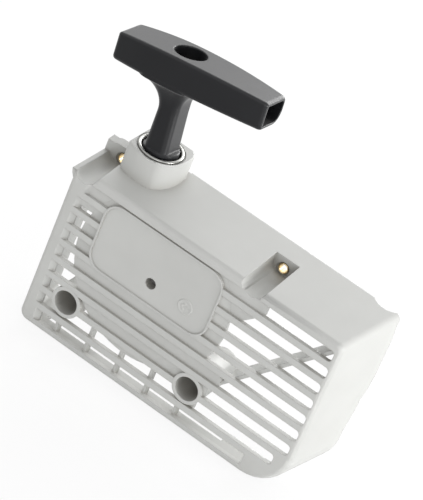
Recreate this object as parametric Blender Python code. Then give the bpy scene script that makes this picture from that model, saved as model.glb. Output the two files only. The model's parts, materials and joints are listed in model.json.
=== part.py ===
"""Recoil starter cover with louvre grille, T-grip and rewind starter, in metres, +Z up.

Everything is drawn in the cover's own frame: X to the right along the front face, Y from the
front face to the back, Z up from the bottom edge. One empty carries the frame to the origin.
"""
import math

import bmesh
import bpy
from mathutils import Matrix, Vector

# Frame
ORIGIN_X = 0.0952
ORIGIN_Y = 0.0291
GAP = 0.0003
MERGE = 0.0004

# Cover shell
FRONT_WIDTH = 0.1995
FRONT_HEIGHT = 0.1188
COVER_DEPTH = 0.0560
LEFT_DEPTH = 0.0440
TOP_DEPTH = 0.0530
WALL = 0.0022
FACE = 0.0029
LEFT_FLARE = 0.068
RIGHT_FLARE = 0.16
TOP_RISE = 0.12
FRONT_EDGE = 0.0028
LOWER_LEFT_RADIUS = 0.0060
LOWER_RIGHT_RADIUS = 0.0280
UPPER_RIGHT_RADIUS = 0.0045
UPPER_LEFT_RADIUS = 0.0090
OVERRUN = 0.0100
CREASE = 0.0006
LEAST_RADIUS = 0.0008

# Louvre grille
SLOT_PITCH = 0.01249
TOP_SLOT_SILL = 0.1049
SLOT_HEIGHT = 0.0081
SLOT_LEFT = 0.0074
SLOT_RAMP = 1.4
SLOT_RIGHT_ENDS = (0.1959, 0.1970, 0.1970, 0.1970, 0.1970, 0.1970, 0.1958, 0.1888, 0.1710)
SLOT_LEFT_ENDS = {0: 0.0111, 8: 0.0097}
SLOT_END_RADIUS = 0.0024
SLOT_EDGE_RADIUS = 0.0005
RIB_PITCH = 0.0231
RIB_COUNT = 5
FIRST_RIB = 0.0255
RIB_THICKNESS = 0.0018
RIB_DEPTH = 0.0090
RIB_SHORT = 0.0240
RIB_TALL = 0.0305
BRACE_FOOT = (0.1376, 0.0460)
BRACE_HEAD_DROP = 0.0020
BRACE_HEAD = (0.1975, FRONT_HEIGHT - BRACE_HEAD_DROP)
BRACE_THICKNESS = 0.0024
BRACE_DEPTH = 0.0220

# Well floor, name plate field and spring seat
AXIS_X = 0.0729
AXIS_DROP = 0.0415
AXIS_Z = FRONT_HEIGHT - AXIS_DROP
WELL_RADIUS = 0.0554
WELL_FRONT = 0.0018
WELL_BACK = 0.0043
WELL_TOP_DROP = 0.0016
WELL_TOP = FRONT_HEIGHT - WELL_TOP_DROP
LEFT_WEB_DROPS = (
    (0.0016, 0.0222), (0.0240, 0.0222), (0.0360, 0.0082), (0.0360, 0.0), (0.0016, 0.0),
)
LEFT_WEB = [(x, WELL_TOP - drop) for x, drop in LEFT_WEB_DROPS]
UPPER_WEB_DROPS = (
    (0.1100, 0.0292), (0.1220, 0.0282), (0.1350, 0.0248), (0.1430, 0.0167), (0.1467, 0.0123),
    (0.1467, 0.0), (0.1000, 0.0),
)
UPPER_WEB = [(x, WELL_TOP - drop) for x, drop in UPPER_WEB_DROPS]
LOWER_WEB = (
    (0.1000, 0.0300), (0.1209, 0.0200), (0.1290, 0.0175), (0.1290, 0.0256), (0.1330, 0.0300),
    (0.1330, 0.0381), (0.1376, 0.0424), (0.1386, 0.0480), (0.1150, 0.0600),
)
FIELD_TOP_DROP = 0.0068
FIELD_HEIGHT = 0.0492
FIELD_TOP = FRONT_HEIGHT - FIELD_TOP_DROP
FIELD = (0.0282, 0.1175, FIELD_TOP - FIELD_HEIGHT, FIELD_TOP)
FIELD_RADIUS = 0.0115
FIELD_BEAD = 0.0013
FIELD_PROUD = 0.0003
FIELD_RECESS = 0.0007
CENTRE_HOLE_RADIUS = 0.0037
SEAT_RING_OUTER = 0.0393
SEAT_RING_BACK = 0.0120
SEAT_STEP_BACK = 0.0056
SEAT_STEP_WIDTH = 0.0031
POST_RADIUS = 0.0069
POST_BACK = 0.0170

# Screw points
LOWER_BORES = ((0.0268, 0.0293), (0.1209, 0.0286))
BORE_RADIUS = 0.0081
BOSS_RADIUS = 0.0105
BORE_FLOOR = 0.0380
BOSS_BACK = 0.0437
BOSS_PROUD = 0.0001
POCKETS = ((0.0083, 0.0109), (0.1340, 0.1332))
POCKET_RADIUS = 0.0085
POCKET_AXIS_RISE = 0.0005
POCKET_AXIS_Z = FRONT_HEIGHT + POCKET_AXIS_RISE
POCKET_FLOOR = 0.0375
POCKET_WALL = 0.0024
POCKET_SIDE_DROP = 0.0041
POCKET_SIDE_CUT = FRONT_HEIGHT - POCKET_SIDE_DROP
POCKET_BOSS_DROP = 0.0035
SCREW_DROP = 0.0036
SCREW_Z = FRONT_HEIGHT - SCREW_DROP
SLEEVE_RADIUS = 0.0036
SLEEVE_BORE = 0.0027
SLEEVE_SEAT = 0.0012
COUNTERBORE_RADIUS = 0.0046

# Rope collar
COLLAR_OUTLINE = (
    (0.0166, 0.0520), (0.0166, 0.0232), (0.0178, 0.0212), (0.0215, 0.0193), (0.0285, 0.0181),
    (0.0395, 0.0183), (0.0436, 0.0208), (0.0469, 0.0248), (0.0493, 0.0296), (0.0505, 0.0350),
    (0.0508, 0.0410), (0.0502, 0.0465), (0.0488, 0.0498), (0.0462, 0.0520),
)
COLLAR_SINK = 0.0013
COLLAR_BASE = FRONT_HEIGHT - COLLAR_SINK
COLLAR_RISE = 0.0212
COLLAR_TOP = FRONT_HEIGHT + COLLAR_RISE
COLLAR_EDGE = 0.0008
COLLAR_WALL = 0.0024
ROPE_X = 0.0330
ROPE_Y = 0.0342
COLLAR_TUBE_RADIUS = 0.0156
BUSH_HOLE_RADIUS = 0.0136
BUSH_RECESS_RADIUS = 0.0158
BUSH_RECESS_DEPTH = 0.0009
COLLAR_TUBE_RISE = 0.0017
COLLAR_TUBE_FLOOR = FRONT_HEIGHT + COLLAR_TUBE_RISE
BUSH_PROFILE = (
    (0.0148, -0.0006), (0.0148, 0.0004), (0.0141, 0.0010), (0.0133, 0.0010), (0.0127, 0.0004),
    (0.0123, -0.0010), (0.0116, -0.0035), (0.0106, -0.0060), (0.0089, -0.0083), (0.0066, -0.0101),
    (0.0057, -0.0112), (0.0057, -0.0126), (0.0065, -0.0126), (0.0065, -0.0115), (0.0072, -0.0108),
    (0.0096, -0.0088), (0.0115, -0.0062), (0.0125, -0.0037), (0.0131, -0.0012), (0.0133, -0.0006),
)

# Rear rim
RIM_START = 0.1500
RIM_FOOT = 0.0230
RIM_WAIST = 0.0475
RIM_HIP = 0.0510
RIM_FULL = 0.0550
LIP_DEPTH = 0.0120
LIP_HEIGHT = 0.0090
LEFT_TRIM = 0.0172
COLLAR_TRIM = 0.0522
SCALLOP_RADIUS = 0.0118
SCALLOP_PLACE = (0.1965, 0.0612)
RIM_LINE = (
    (RIM_FOOT, 0.0040), (0.0330, 0.0070), (0.0410, 0.0100), (0.0460, 0.0135), (RIM_WAIST, 0.0180),
    (RIM_WAIST, 0.0350), (0.0500, 0.0470), (RIM_HIP, 0.0590), (0.0537, 0.0660), (RIM_FULL, 0.0770),
    (RIM_FULL, 0.1060), (TOP_DEPTH, 0.1160),
)

# Grip, rope and pull direction
LEAN_LEFT = math.radians(7.8)
LEAN_BACK = math.radians(7.3)
GRIP_LEFT = 0.0431
GRIP_RIGHT = 0.0619
GRIP_TOP = 0.0644
GRIP_HEIGHT = 0.0207
GRIP_END_HEIGHT = 0.0182
GRIP_END_DROP = 0.0026
GRIP_HALF_DEPTH = 0.0166
GRIP_END_HALF_DEPTH = 0.0128
GRIP_END_EDGE = 0.0012
GRIP_END_ROLL = 0.0024
GRIP_WALL = 0.0024
GRIP_RADII = (0.0030, 0.0095, 0.0020, 0.0016)
GRIP_BACK_ROLL = 0.0045
GRIP_CAVITY_START = 0.0155
KNOT_WELL_RADIUS = 0.0105
KNOT_WELL_DEPTH = 0.0180
STEM_NECK = (0.0070, 0.0100)
STEM_BASE = (0.0081, 0.0106)
STEM_CORNER = 0.0038
STEM_FILLET_LEFT = (0.0200, 0.0160)
STEM_FILLET_RIGHT = (0.0120, 0.0120)
STEM_SPREAD = 0.0020
STEM_SINK = 0.0010
FOOT_RADIUS = 0.0116
FOOT_DEPTH = 0.0050
FOOT_CROWN = 0.0012
ROPE_RADIUS = 0.0020
ROPE_HOLE_RADIUS = 0.0025
ROPE_END_TURN = math.radians(1.0)
KNOT_RADIUS = 0.0065
KNOT_PROFILE = (
    (0.0, 0.0100), (0.0028, 0.0096), (0.0050, 0.0078), (0.0058, 0.0052), (KNOT_RADIUS, 0.0030),
    (0.0054, 0.0008), (0.0030, 0.0), (0.0, 0.0),
)
ROPE_TUCK = 0.0042

# Pulley, spring and pin, all about the rotor axis
GROOVE_HALF_WIDTH = 0.0044
RIM_HALF_WIDTH = 0.0056
ROTOR_HALF_WIDTH = 0.0072
FLANGE_RADIUS = 0.0345
GROOVE_RADIUS = 0.0210
HUB_FRONT_RADIUS = 0.0095
HUB_FRONT = 0.0066
HUB_BORE = 0.0073
REAR_HUB_RADIUS = 0.0090
REAR_HUB_HEIGHT = 0.0032
PIN_RADIUS = 0.0035
PIN_FRONT = 0.0065
PIN_END = 0.0042
PIN_CHAMFER = 0.0005
ROTOR_BUSH_OUTER = 0.0050
RUNNING_FIT = 0.0001
CASSETTE_RADIUS = 0.0373
CASSETTE_WALL = 0.0018
CASSETTE_BACK = 0.0177
CASSETTE_HOLE = 0.0110
SPRING_THICKNESS = 0.0005
SPRING_TURNS = 7.5
SPRING_INNER = 0.0101
SPRING_OUTER = 0.0348
SPRING_FRONT_GAP = 0.0010
SPRING_BACK_GAP = 0.0008
PAWL_PIVOT = 0.0200
PAWL_THICKNESS = 0.0038
PAWL_POST_RADIUS = 0.0022
PAWL_POST_END = 0.0012
PAWL_HEEL_RADIUS = 0.0044
PAWL_NOSE = (
    (0.0046, 0.0040), (0.0040, 0.0090), (0.0042, 0.0140), (0.0052, 0.0172), (0.0018, 0.0166),
    (-0.0006, 0.0120), (-0.0024, 0.0060),
)
PAWL_SPRING_RADIUS = 0.0104
PAWL_SPRING_ARM = (0.0155, 0.0052)
PAWL_SPRING_STAND = 0.0016
PAWL_SPRING_WIRE = 0.0005
WASHER_RADIUS = 0.0095
WASHER_THICKNESS = 0.0010
CLIP_RADIUS = 0.0062
CLIP_GROOVE_RADIUS = 0.0028
ROTOR_KNOT_RADIUS = 0.0034
ROTOR_KNOT_PLACE = 0.0262
ROTOR_KNOT_PROFILE = (
    (0.0, 0.0062), (0.0020, 0.0058), (ROTOR_KNOT_RADIUS, 0.0036), (0.0030, 0.0012),
    (ROPE_RADIUS, 0.0002), (ROPE_RADIUS, -0.0024), (0.0, -0.0024),
)

ROUND = 40
SMALL_ROUND = 24
WELD = 0.000004


def clear_scene():
    """Take away whatever the start file holds."""
    for old in list(bpy.data.objects):
        bpy.data.objects.remove(old, do_unlink=True)


def new_collection(name):
    """Add a collection to the scene."""
    collection = bpy.data.collections.new(name)
    bpy.context.scene.collection.children.link(collection)
    return collection


clear_scene()
COVER = new_collection("starter_cover_assembly")
CUTTERS = new_collection("cutters")
FRAME = bpy.data.objects.new("cover_frame", None)
FRAME.location = (-ORIGIN_X, -ORIGIN_Y, 0.0)
COVER.objects.link(FRAME)


def material(name, colour, roughness, metallic=0.0):
    """Principled material for one sub-part."""
    made = bpy.data.materials.new(name)
    made.use_nodes = True
    shader = made.node_tree.nodes["Principled BSDF"]
    shader.inputs["Base Color"].default_value = (*colour, 1.0)
    shader.inputs["Roughness"].default_value = roughness
    shader.inputs["Metallic"].default_value = metallic
    made.diffuse_color = (*colour, 1.0)
    return made


def add_object(name, mesh, parent=None, collection=None):
    """Wrap a mesh in an object that hangs on the cover frame or on another empty."""
    made = bpy.data.objects.new(name, mesh)
    (collection or COVER).objects.link(made)
    made.parent = parent or FRAME
    if collection:
        made.hide_render = True
        made.display_type = "WIRE"
    return made


def loft(name, rings, parent=None, collection=None):
    """Skin a row of rings that all have the same number of points."""
    mesh = bpy.data.meshes.new(name)
    work = bmesh.new()
    rows = [[work.verts.new(point) for point in ring] for ring in rings]
    count = len(rows[0])
    for near, far in zip(rows, rows[1:]):
        for i in range(count):
            j = (i + 1) % count
            work.faces.new((near[i], near[j], far[j], far[i]))
    work.faces.new(list(reversed(rows[0])))
    work.faces.new(rows[-1])
    bmesh.ops.recalc_face_normals(work, faces=work.faces)
    work.to_mesh(mesh)
    work.free()
    return add_object(name, mesh, parent, collection)


def plate(name, outline, front, back, parent=None, collection=None):
    """Flat plate: an outline in X and Z filled and extruded along Y."""
    curve = bpy.data.curves.new(name, "CURVE")
    curve.dimensions = "2D"
    curve.fill_mode = "BOTH"
    curve.extrude = (back - front) / 2
    spline = curve.splines.new("POLY")
    spline.points.add(len(outline) - 1)
    for point, (x, z) in zip(spline.points, outline):
        point.co = (x, z, 0.0, 1.0)
    spline.use_cyclic_u = True
    turn = Matrix.Translation((0.0, (front + back) / 2, 0.0)) @ Matrix.Rotation(math.pi / 2, 4, "X")
    return curve_solid(name, curve, turn, parent, collection)


def wire(name, points, radius, parent=None):
    """Round wire or rope along a row of points, with closed ends."""
    curve = bpy.data.curves.new(name, "CURVE")
    curve.dimensions = "3D"
    curve.bevel_depth = radius
    curve.bevel_resolution = 2
    curve.use_fill_caps = True
    spline = curve.splines.new("POLY")
    spline.points.add(len(points) - 1)
    for point, place in zip(spline.points, points):
        point.co = (*place, 1.0)
    return curve_solid(name, curve, Matrix.Identity(4), parent, None)


def curve_solid(name, curve, turn, parent, collection):
    """Turn a curve into a welded mesh object."""
    scratch = bpy.data.objects.new(name + "_curve", curve)
    COVER.objects.link(scratch)
    mesh = bpy.data.meshes.new_from_object(scratch)
    work = bmesh.new()
    work.from_mesh(mesh)
    bmesh.ops.remove_doubles(work, verts=work.verts, dist=0.000001)
    bmesh.ops.transform(work, matrix=turn, verts=work.verts)
    bmesh.ops.recalc_face_normals(work, faces=work.faces)
    work.to_mesh(mesh)
    work.free()
    bpy.data.objects.remove(scratch, do_unlink=True)
    bpy.data.curves.remove(curve)
    mesh.name = name
    return add_object(name, mesh, parent, collection)


def turned(name, profile, parent=None, collection=None, axis="Y", steps=ROUND):
    """Turned piece: a closed profile of (radius, distance along the axis)."""
    mesh = bpy.data.meshes.new(name)
    work = bmesh.new()
    verts = [work.verts.new((radius, 0.0, along)) for radius, along in profile]
    closed = all(radius > 0.0 for radius, _ in profile)
    pairs = list(zip(verts, verts[1:]))
    if closed:
        pairs.append((verts[-1], verts[0]))
    for a, b in pairs:
        work.edges.new((a, b))
    bmesh.ops.spin(
        work, geom=work.verts[:] + work.edges[:], cent=(0, 0, 0), axis=(0, 0, 1),
        angle=2 * math.pi, steps=steps,
    )
    bmesh.ops.remove_doubles(work, verts=work.verts, dist=0.000001)
    if axis == "Y":
        turn = Matrix.Rotation(-math.pi / 2, 4, "X")
        bmesh.ops.transform(work, matrix=turn, verts=work.verts)
    bmesh.ops.recalc_face_normals(work, faces=work.faces)
    work.to_mesh(mesh)
    work.free()
    return add_object(name, mesh, parent, collection)


def rod(name, radius, start, end, x=0.0, z=0.0, parent=None, collection=None, steps=ROUND):
    """Plain cylinder along Y."""
    made = turned(name, ((0.0, end), (radius, end), (radius, start), (0.0, start)),
                  parent, collection, "Y", steps)
    made.location = (x, 0.0, z)
    return made


def tube(name, outer, inner, start, end, x=0.0, z=0.0, parent=None, collection=None, steps=ROUND):
    """Plain tube along Y."""
    made = turned(name, ((outer, end), (outer, start), (inner, start), (inner, end)),
                  parent, collection, "Y", steps)
    made.location = (x, 0.0, z)
    return made


def combine(target, operation, tools, name):
    """Join tools to a target, or cut them from it, in one step."""
    group = bpy.data.collections.new(name)
    CUTTERS.children.link(group)
    for tool in tools:
        for owner in list(tool.users_collection):
            owner.objects.unlink(tool)
        group.objects.link(tool)
        tool.hide_render = True
        tool.display_type = "WIRE"
    step = target.modifiers.new(name, "BOOLEAN")
    step.operation = operation
    step.operand_type = "COLLECTION"
    step.collection = group
    step.solver = "EXACT"
    settle(target)


def settle(target):
    """Turn the outcome of the modifiers into the object's mesh, without slivers."""
    bpy.context.view_layer.update()
    depsgraph = bpy.context.evaluated_depsgraph_get()
    mesh = bpy.data.meshes.new_from_object(target.evaluated_get(depsgraph))
    work = bmesh.new()
    work.from_mesh(mesh)
    bmesh.ops.remove_doubles(work, verts=work.verts, dist=WELD)
    bmesh.ops.dissolve_degenerate(work, edges=work.edges, dist=WELD)
    work.to_mesh(mesh)
    work.free()
    target.modifiers.clear()
    target.data = mesh


def round_shading(target, angle=35.0):
    """Smooth shading with the real edges kept sharp."""
    target.data.shade_smooth()
    target.data.set_sharp_from_angle(angle=math.radians(angle))


def dress(target, made):
    """Give an object its own material and shading."""
    target.data.materials.clear()
    target.data.materials.append(made)
    round_shading(target)


def rounded(left, right, bottom, top, radii, steps=6):
    """Rounded rectangle: corner radii run lower left, lower right, upper right, upper left."""
    lower_left, lower_right, upper_right, upper_left = radii
    corners = (
        (left + lower_left, bottom + lower_left, lower_left, 180.0),
        (right - lower_right, bottom + lower_right, lower_right, 270.0),
        (right - upper_right, top - upper_right, upper_right, 0.0),
        (left + upper_left, top - upper_left, upper_left, 90.0),
    )
    points = []
    for x, z, radius, start in corners:
        for i in range(steps + 1):
            angle = math.radians(start + 90.0 * i / steps)
            points.append((x + radius * math.cos(angle), z + radius * math.sin(angle)))
    return points


def at_depth(outline, y):
    """Stand an outline of X and Z at one depth."""
    return [(x, y, z) for x, z in outline]


def cover_section(y, inset):
    """Outline of the cover at a depth, drawn in by an inset."""
    radii = [
        max(radius - inset, LEAST_RADIUS)
        for radius in (LOWER_LEFT_RADIUS, LOWER_RIGHT_RADIUS, UPPER_RIGHT_RADIUS, UPPER_LEFT_RADIUS)
    ]
    outline = rounded(
        -LEFT_FLARE * y + inset, FRONT_WIDTH + RIGHT_FLARE * y - inset,
        inset, FRONT_HEIGHT + TOP_RISE * y - inset, radii, 8,
    )
    return at_depth(outline, y)


def cover_shell():
    """Outer body of the cover with its softened front edge."""
    rings = []
    for degrees in (0.0, 30.0, 60.0, 90.0):
        angle = math.radians(degrees)
        depth = FRONT_EDGE * (1.0 - math.cos(angle))
        rings.append(cover_section(depth, FRONT_EDGE * (1.0 - math.sin(angle))))
    rings.append(cover_section(COVER_DEPTH, 0.0))
    return loft("starter_cover", rings)


def cover_hollow():
    """Space inside the cover, open at the back."""
    rings = [
        cover_section(FACE, WALL + CREASE),
        cover_section(FACE + CREASE, WALL),
        cover_section(COVER_DEPTH + OVERRUN, WALL),
    ]
    return loft("cover_hollow", rings, collection=CUTTERS)


def slots():
    """The nine louvre slots, scooped at the left end."""
    made = []
    for k, right in enumerate(SLOT_RIGHT_ENDS):
        sill = TOP_SLOT_SILL - SLOT_PITCH * k
        left = SLOT_LEFT_ENDS.get(k, SLOT_LEFT)
        end = SLOT_EDGE_RADIUS if k == len(SLOT_RIGHT_ENDS) - 1 else SLOT_END_RADIUS
        radii = (SLOT_EDGE_RADIUS, end, end, SLOT_EDGE_RADIUS)
        rings = []
        for y in (-0.001, FACE + 0.002):
            outline = rounded(left + SLOT_RAMP * y, right, sill, sill + SLOT_HEIGHT, radii, 4)
            rings.append(at_depth(outline, y))
        made.append(loft("slot_%d" % (k + 1), rings, collection=CUTTERS))
    return made


def collar_rings(inset, bottom, top, edge):
    """Rings of the collar's plan outline, drawn in by an inset towards its middle."""
    middle = Vector((ROPE_X, ROPE_Y))
    rings = []
    for height, extra in ((bottom, 0.0), (top - edge, 0.0), (top, edge)):
        ring = []
        for x, y in COLLAR_OUTLINE:
            arm = Vector((x, y)) - middle
            arm.length -= inset + extra
            ring.append((middle.x + arm.x, middle.y + arm.y, height))
        rings.append(ring)
    return rings


def well_floor():
    """Round floor behind the grille with the three webs that reach the screw bosses."""
    disc = []
    for i in range(96):
        angle = 2 * math.pi * i / 96
        x = AXIS_X + WELL_RADIUS * math.cos(angle)
        z = AXIS_Z + WELL_RADIUS * math.sin(angle)
        if z < WELL_TOP:
            disc.append((x, z))
    webs = (("left_web", LEFT_WEB), ("upper_web", UPPER_WEB), ("lower_web", LOWER_WEB))
    made = [plate("well_floor", disc, WELL_FRONT, WELL_BACK)]
    for name, outline in webs:
        made.append(plate(name, outline, WELL_FRONT + MERGE / 4, WELL_BACK + MERGE / 2))
    return made


def ribs():
    """Upright ribs behind the lower slots."""
    made = []
    for k in range(RIB_COUNT):
        x = FIRST_RIB + RIB_PITCH * k
        top = RIB_TALL if k % 2 else RIB_SHORT
        outline = (
            (x - RIB_THICKNESS / 2, WALL / 2), (x + RIB_THICKNESS / 2, WALL / 2),
            (x + RIB_THICKNESS / 2, top), (x - RIB_THICKNESS / 2, top),
        )
        made.append(plate("rib_%d" % (k + 1), outline, FACE - MERGE, RIB_DEPTH))
    return made


def brace():
    """Slanting wall behind the right half of the grille."""
    foot = Vector(BRACE_FOOT)
    head = Vector(BRACE_HEAD)
    along = (head - foot).normalized()
    side = Vector((along.y, -along.x)) * BRACE_THICKNESS
    outline = [tuple(foot), tuple(foot + side), tuple(head + side), tuple(head)]
    return plate("brace", outline, FACE - MERGE * 0.75, BRACE_DEPTH)


def pocket_boss(number, x):
    """Solid round an upper screw pocket, under the top wall."""
    radius = POCKET_RADIUS + POCKET_WALL
    rings = []
    for y in (WELL_FRONT + MERGE / 2, BOSS_BACK):
        top = FRONT_HEIGHT + TOP_RISE * y - WALL / 2
        ring = [(x + radius, y, top)]
        for i in range(17):
            angle = -math.pi * i / 16
            ring.append((
                x + radius * math.cos(angle), y,
                POCKET_AXIS_Z - POCKET_BOSS_DROP + radius * math.sin(angle),
            ))
        ring.append((x - radius, y, top))
        rings.append(ring)
    return loft("pocket_boss_%d" % number, rings)


def pocket_cutter(number, x):
    """Open channel of an upper screw pocket."""
    outline = [(x + POCKET_RADIUS, FRONT_HEIGHT + OVERRUN * 2)]
    for i in range(17):
        angle = -math.pi * i / 16
        outline.append((
            x + POCKET_RADIUS * math.cos(angle), POCKET_AXIS_Z + POCKET_RADIUS * math.sin(angle),
        ))
    outline.append((x - POCKET_RADIUS, FRONT_HEIGHT + OVERRUN * 2))
    return plate("pocket_%d" % number, outline, -OVERRUN, POCKET_FLOOR, collection=CUTTERS)


def box_cutter(name, x_range, y_range, z_range):
    """Plain box for trimming."""
    outline = (
        (x_range[0], z_range[0]), (x_range[1], z_range[0]),
        (x_range[1], z_range[1]), (x_range[0], z_range[1]),
    )
    return plate(name, outline, y_range[0], y_range[1], collection=CUTTERS)


def rear_trims():
    """Cutters that give the rear rim its stepped line."""
    far = COVER_DEPTH + 2 * OVERRUN
    above = COLLAR_TOP + OVERRUN
    right_edge = [(RIM_FOOT, -OVERRUN), *RIM_LINE]
    right_edge += [(TOP_DEPTH, above), (far, above), (far, -OVERRUN)]
    rings = [[(x, y, z) for y, z in right_edge] for x in (RIM_START, FRONT_WIDTH + 2 * OVERRUN)]
    right = loft("rear_right", rings, collection=CUTTERS)
    middle = box_cutter("rear_top", (COLLAR_OUTLINE[-2][0] + MERGE, RIM_START + OVERRUN),
                        (TOP_DEPTH, far), (0.0, above))
    left = box_cutter("rear_left", (-2 * OVERRUN, LEFT_TRIM), (LEFT_DEPTH, far), (-OVERRUN, above))
    collar = box_cutter("rear_collar", (LEFT_TRIM - 2 * MERGE, COLLAR_OUTLINE[-3][0]),
                        (COLLAR_TRIM, far), (0.0, above))
    lip = box_cutter("rear_lip", (LEFT_TRIM - WALL, RIM_START + MERGE), (LIP_DEPTH, far),
                     (-OVERRUN, LIP_HEIGHT))
    scallop = turned("scallop", (
        (0.0, above), (SCALLOP_RADIUS, above), (SCALLOP_RADIUS, POCKET_AXIS_Z - 2 * OVERRUN),
        (0.0, POCKET_AXIS_Z - 2 * OVERRUN),
    ), collection=CUTTERS, axis="Z")
    scallop.location = (*SCALLOP_PLACE, 0.0)
    return [right, middle, left, collar, lip, scallop]


def build_cover():
    """The moulded cover, in four steps of joining and cutting."""
    cover = cover_shell()
    collar = loft("collar", collar_rings(0.0, COLLAR_BASE, COLLAR_TOP, COLLAR_EDGE))
    combine(cover, "UNION", [collar], "outer_forms")
    hollow = [cover_hollow()]
    hollow.append(loft("collar_hollow", collar_rings(
        COLLAR_WALL, COLLAR_BASE - OVERRUN, COLLAR_TOP - COLLAR_WALL, COLLAR_EDGE,
    ), collection=CUTTERS))
    combine(cover, "DIFFERENCE", hollow + slots(), "hollows")

    inside = well_floor() + ribs() + [brace()]
    field = rounded(*FIELD, [FIELD_RADIUS] * 4, 8)
    inside.append(plate("field", field, -FIELD_PROUD, WELL_FRONT + 3 * MERGE))
    seat_inner = CASSETTE_RADIUS + GAP
    inside.append(tube("seat_ring", SEAT_RING_OUTER, seat_inner, WELL_BACK - MERGE,
                       SEAT_RING_BACK, AXIS_X, AXIS_Z))
    inside.append(tube("seat_step", seat_inner + 2 * MERGE, seat_inner - SEAT_STEP_WIDTH,
                       WELL_BACK - 1.5 * MERGE, SEAT_STEP_BACK, AXIS_X, AXIS_Z))
    inside.append(rod("post", POST_RADIUS, WELL_FRONT + 2.5 * MERGE, POST_BACK, AXIS_X, AXIS_Z))
    for number, (x, z) in enumerate(LOWER_BORES):
        inside.append(rod("boss_%d" % number, BOSS_RADIUS, -BOSS_PROUD, BOSS_BACK, x, z))
    for number, (x, _) in enumerate(POCKETS):
        inside.append(pocket_boss(number, x))
    bush_tube = turned("bush_tube", (
        (COLLAR_TUBE_RADIUS, COLLAR_TOP - COLLAR_WALL / 2), (COLLAR_TUBE_RADIUS, COLLAR_TUBE_FLOOR),
        (BUSH_HOLE_RADIUS - 2 * MERGE, COLLAR_TUBE_FLOOR),
        (BUSH_HOLE_RADIUS - 2 * MERGE, COLLAR_TOP - COLLAR_WALL / 2),
    ), axis="Z")
    bush_tube.location = (ROPE_X, ROPE_Y, 0.0)
    inside.append(bush_tube)
    combine(cover, "UNION", inside, "inner_forms")

    cuts = rear_trims()
    for number, (x, _) in enumerate(POCKETS):
        cuts.append(pocket_cutter(number, x))
    cuts.append(box_cutter("pocket_side",
                           (-2 * OVERRUN, POCKETS[0][0] - POCKET_RADIUS + 2.5 * MERGE),
                           (-OVERRUN, POCKET_FLOOR), (POCKET_SIDE_CUT, COLLAR_TOP + OVERRUN)))
    recess = rounded(FIELD[0] + FIELD_BEAD, FIELD[1] - FIELD_BEAD, FIELD[2] + FIELD_BEAD,
                     FIELD[3] - FIELD_BEAD, [FIELD_RADIUS - FIELD_BEAD] * 4, 8)
    cuts.append(plate("field_recess", recess, -OVERRUN, FIELD_RECESS, collection=CUTTERS))
    cuts.append(rod("centre_hole", CENTRE_HOLE_RADIUS, -OVERRUN, POST_BACK + OVERRUN,
                    AXIS_X, AXIS_Z, collection=CUTTERS))
    for number, (x, z) in enumerate(LOWER_BORES):
        cuts += screw_hole("lower_%d" % number, x, z, BORE_FLOOR)
        cuts.append(rod("bore_%d" % number, BORE_RADIUS, -OVERRUN, BORE_FLOOR, x, z,
                        collection=CUTTERS))
    for number, (_, x) in enumerate(POCKETS):
        cuts += screw_hole("upper_%d" % number, x, SCREW_Z, POCKET_FLOOR)
    bush_hole = turned("bush_hole", (
        (0.0, COLLAR_TOP + OVERRUN), (BUSH_RECESS_RADIUS, COLLAR_TOP + OVERRUN),
        (BUSH_RECESS_RADIUS, COLLAR_TOP - BUSH_RECESS_DEPTH),
        (BUSH_HOLE_RADIUS, COLLAR_TOP - BUSH_RECESS_DEPTH),
        (BUSH_HOLE_RADIUS, COLLAR_BASE - OVERRUN), (0.0, COLLAR_BASE - OVERRUN),
    ), collection=CUTTERS, axis="Z")
    bush_hole.location = (ROPE_X, ROPE_Y, 0.0)
    cuts.append(bush_hole)
    combine(cover, "DIFFERENCE", cuts, "bores_and_trims")
    dress(cover, material("grey_moulding", (0.58, 0.58, 0.56), 0.45))


def screw_hole(name, x, z, floor):
    """Through hole for a sleeve with a shallow counterbore."""
    return [
        rod(name + "_hole", SLEEVE_RADIUS + GAP, floor - 2 * GAP, BOSS_BACK + OVERRUN, x, z,
            collection=CUTTERS, steps=SMALL_ROUND),
        rod(name + "_counterbore", COUNTERBORE_RADIUS, floor - GAP, floor + SLEEVE_SEAT, x, z,
            collection=CUTTERS, steps=SMALL_ROUND),
    ]


def build_sleeves():
    """Four metal sleeves in the screw holes."""
    brass = material("yellow_metal", (0.78, 0.62, 0.36), 0.35, 1.0)
    places = (
        ("upper_left_sleeve", POCKETS[0][1], SCREW_Z, POCKET_FLOOR),
        ("upper_right_sleeve", POCKETS[1][1], SCREW_Z, POCKET_FLOOR),
        ("lower_left_sleeve", *LOWER_BORES[0], BORE_FLOOR),
        ("lower_right_sleeve", *LOWER_BORES[1], BORE_FLOOR),
    )
    for name, x, z, floor in places:
        sleeve = tube(name, SLEEVE_RADIUS, SLEEVE_BORE, floor + GAP, BOSS_BACK - GAP, x, z,
                      steps=SMALL_ROUND)
        dress(sleeve, brass.copy())


def build_bush():
    """Pressed metal funnel that guides the rope through the collar."""
    bush = turned("rope_bush", BUSH_PROFILE, axis="Z")
    bush.location = (ROPE_X, ROPE_Y, COLLAR_TOP)
    dress(bush, material("bright_metal", (0.72, 0.72, 0.70), 0.22, 1.0))


def pull_direction():
    """Unit vector along which the grip and the rope leave the cover."""
    return Vector((-math.tan(LEAN_LEFT), math.tan(LEAN_BACK), 1.0)).normalized()


def pull_frame():
    """Empty at the mouth of the bush, its Z along the pull and its X along the grip bar."""
    up = pull_direction()
    along = Vector((1.0, 0.0, 0.0))
    along = (along - up * along.dot(up)).normalized()
    across = up.cross(along)
    made = bpy.data.objects.new("pull_line", None)
    COVER.objects.link(made)
    made.parent = FRAME
    turn = Matrix((along, across, up)).transposed().to_4x4()
    made.matrix_local = Matrix.Translation((ROPE_X, ROPE_Y, COLLAR_TOP)) @ turn
    return made


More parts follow.
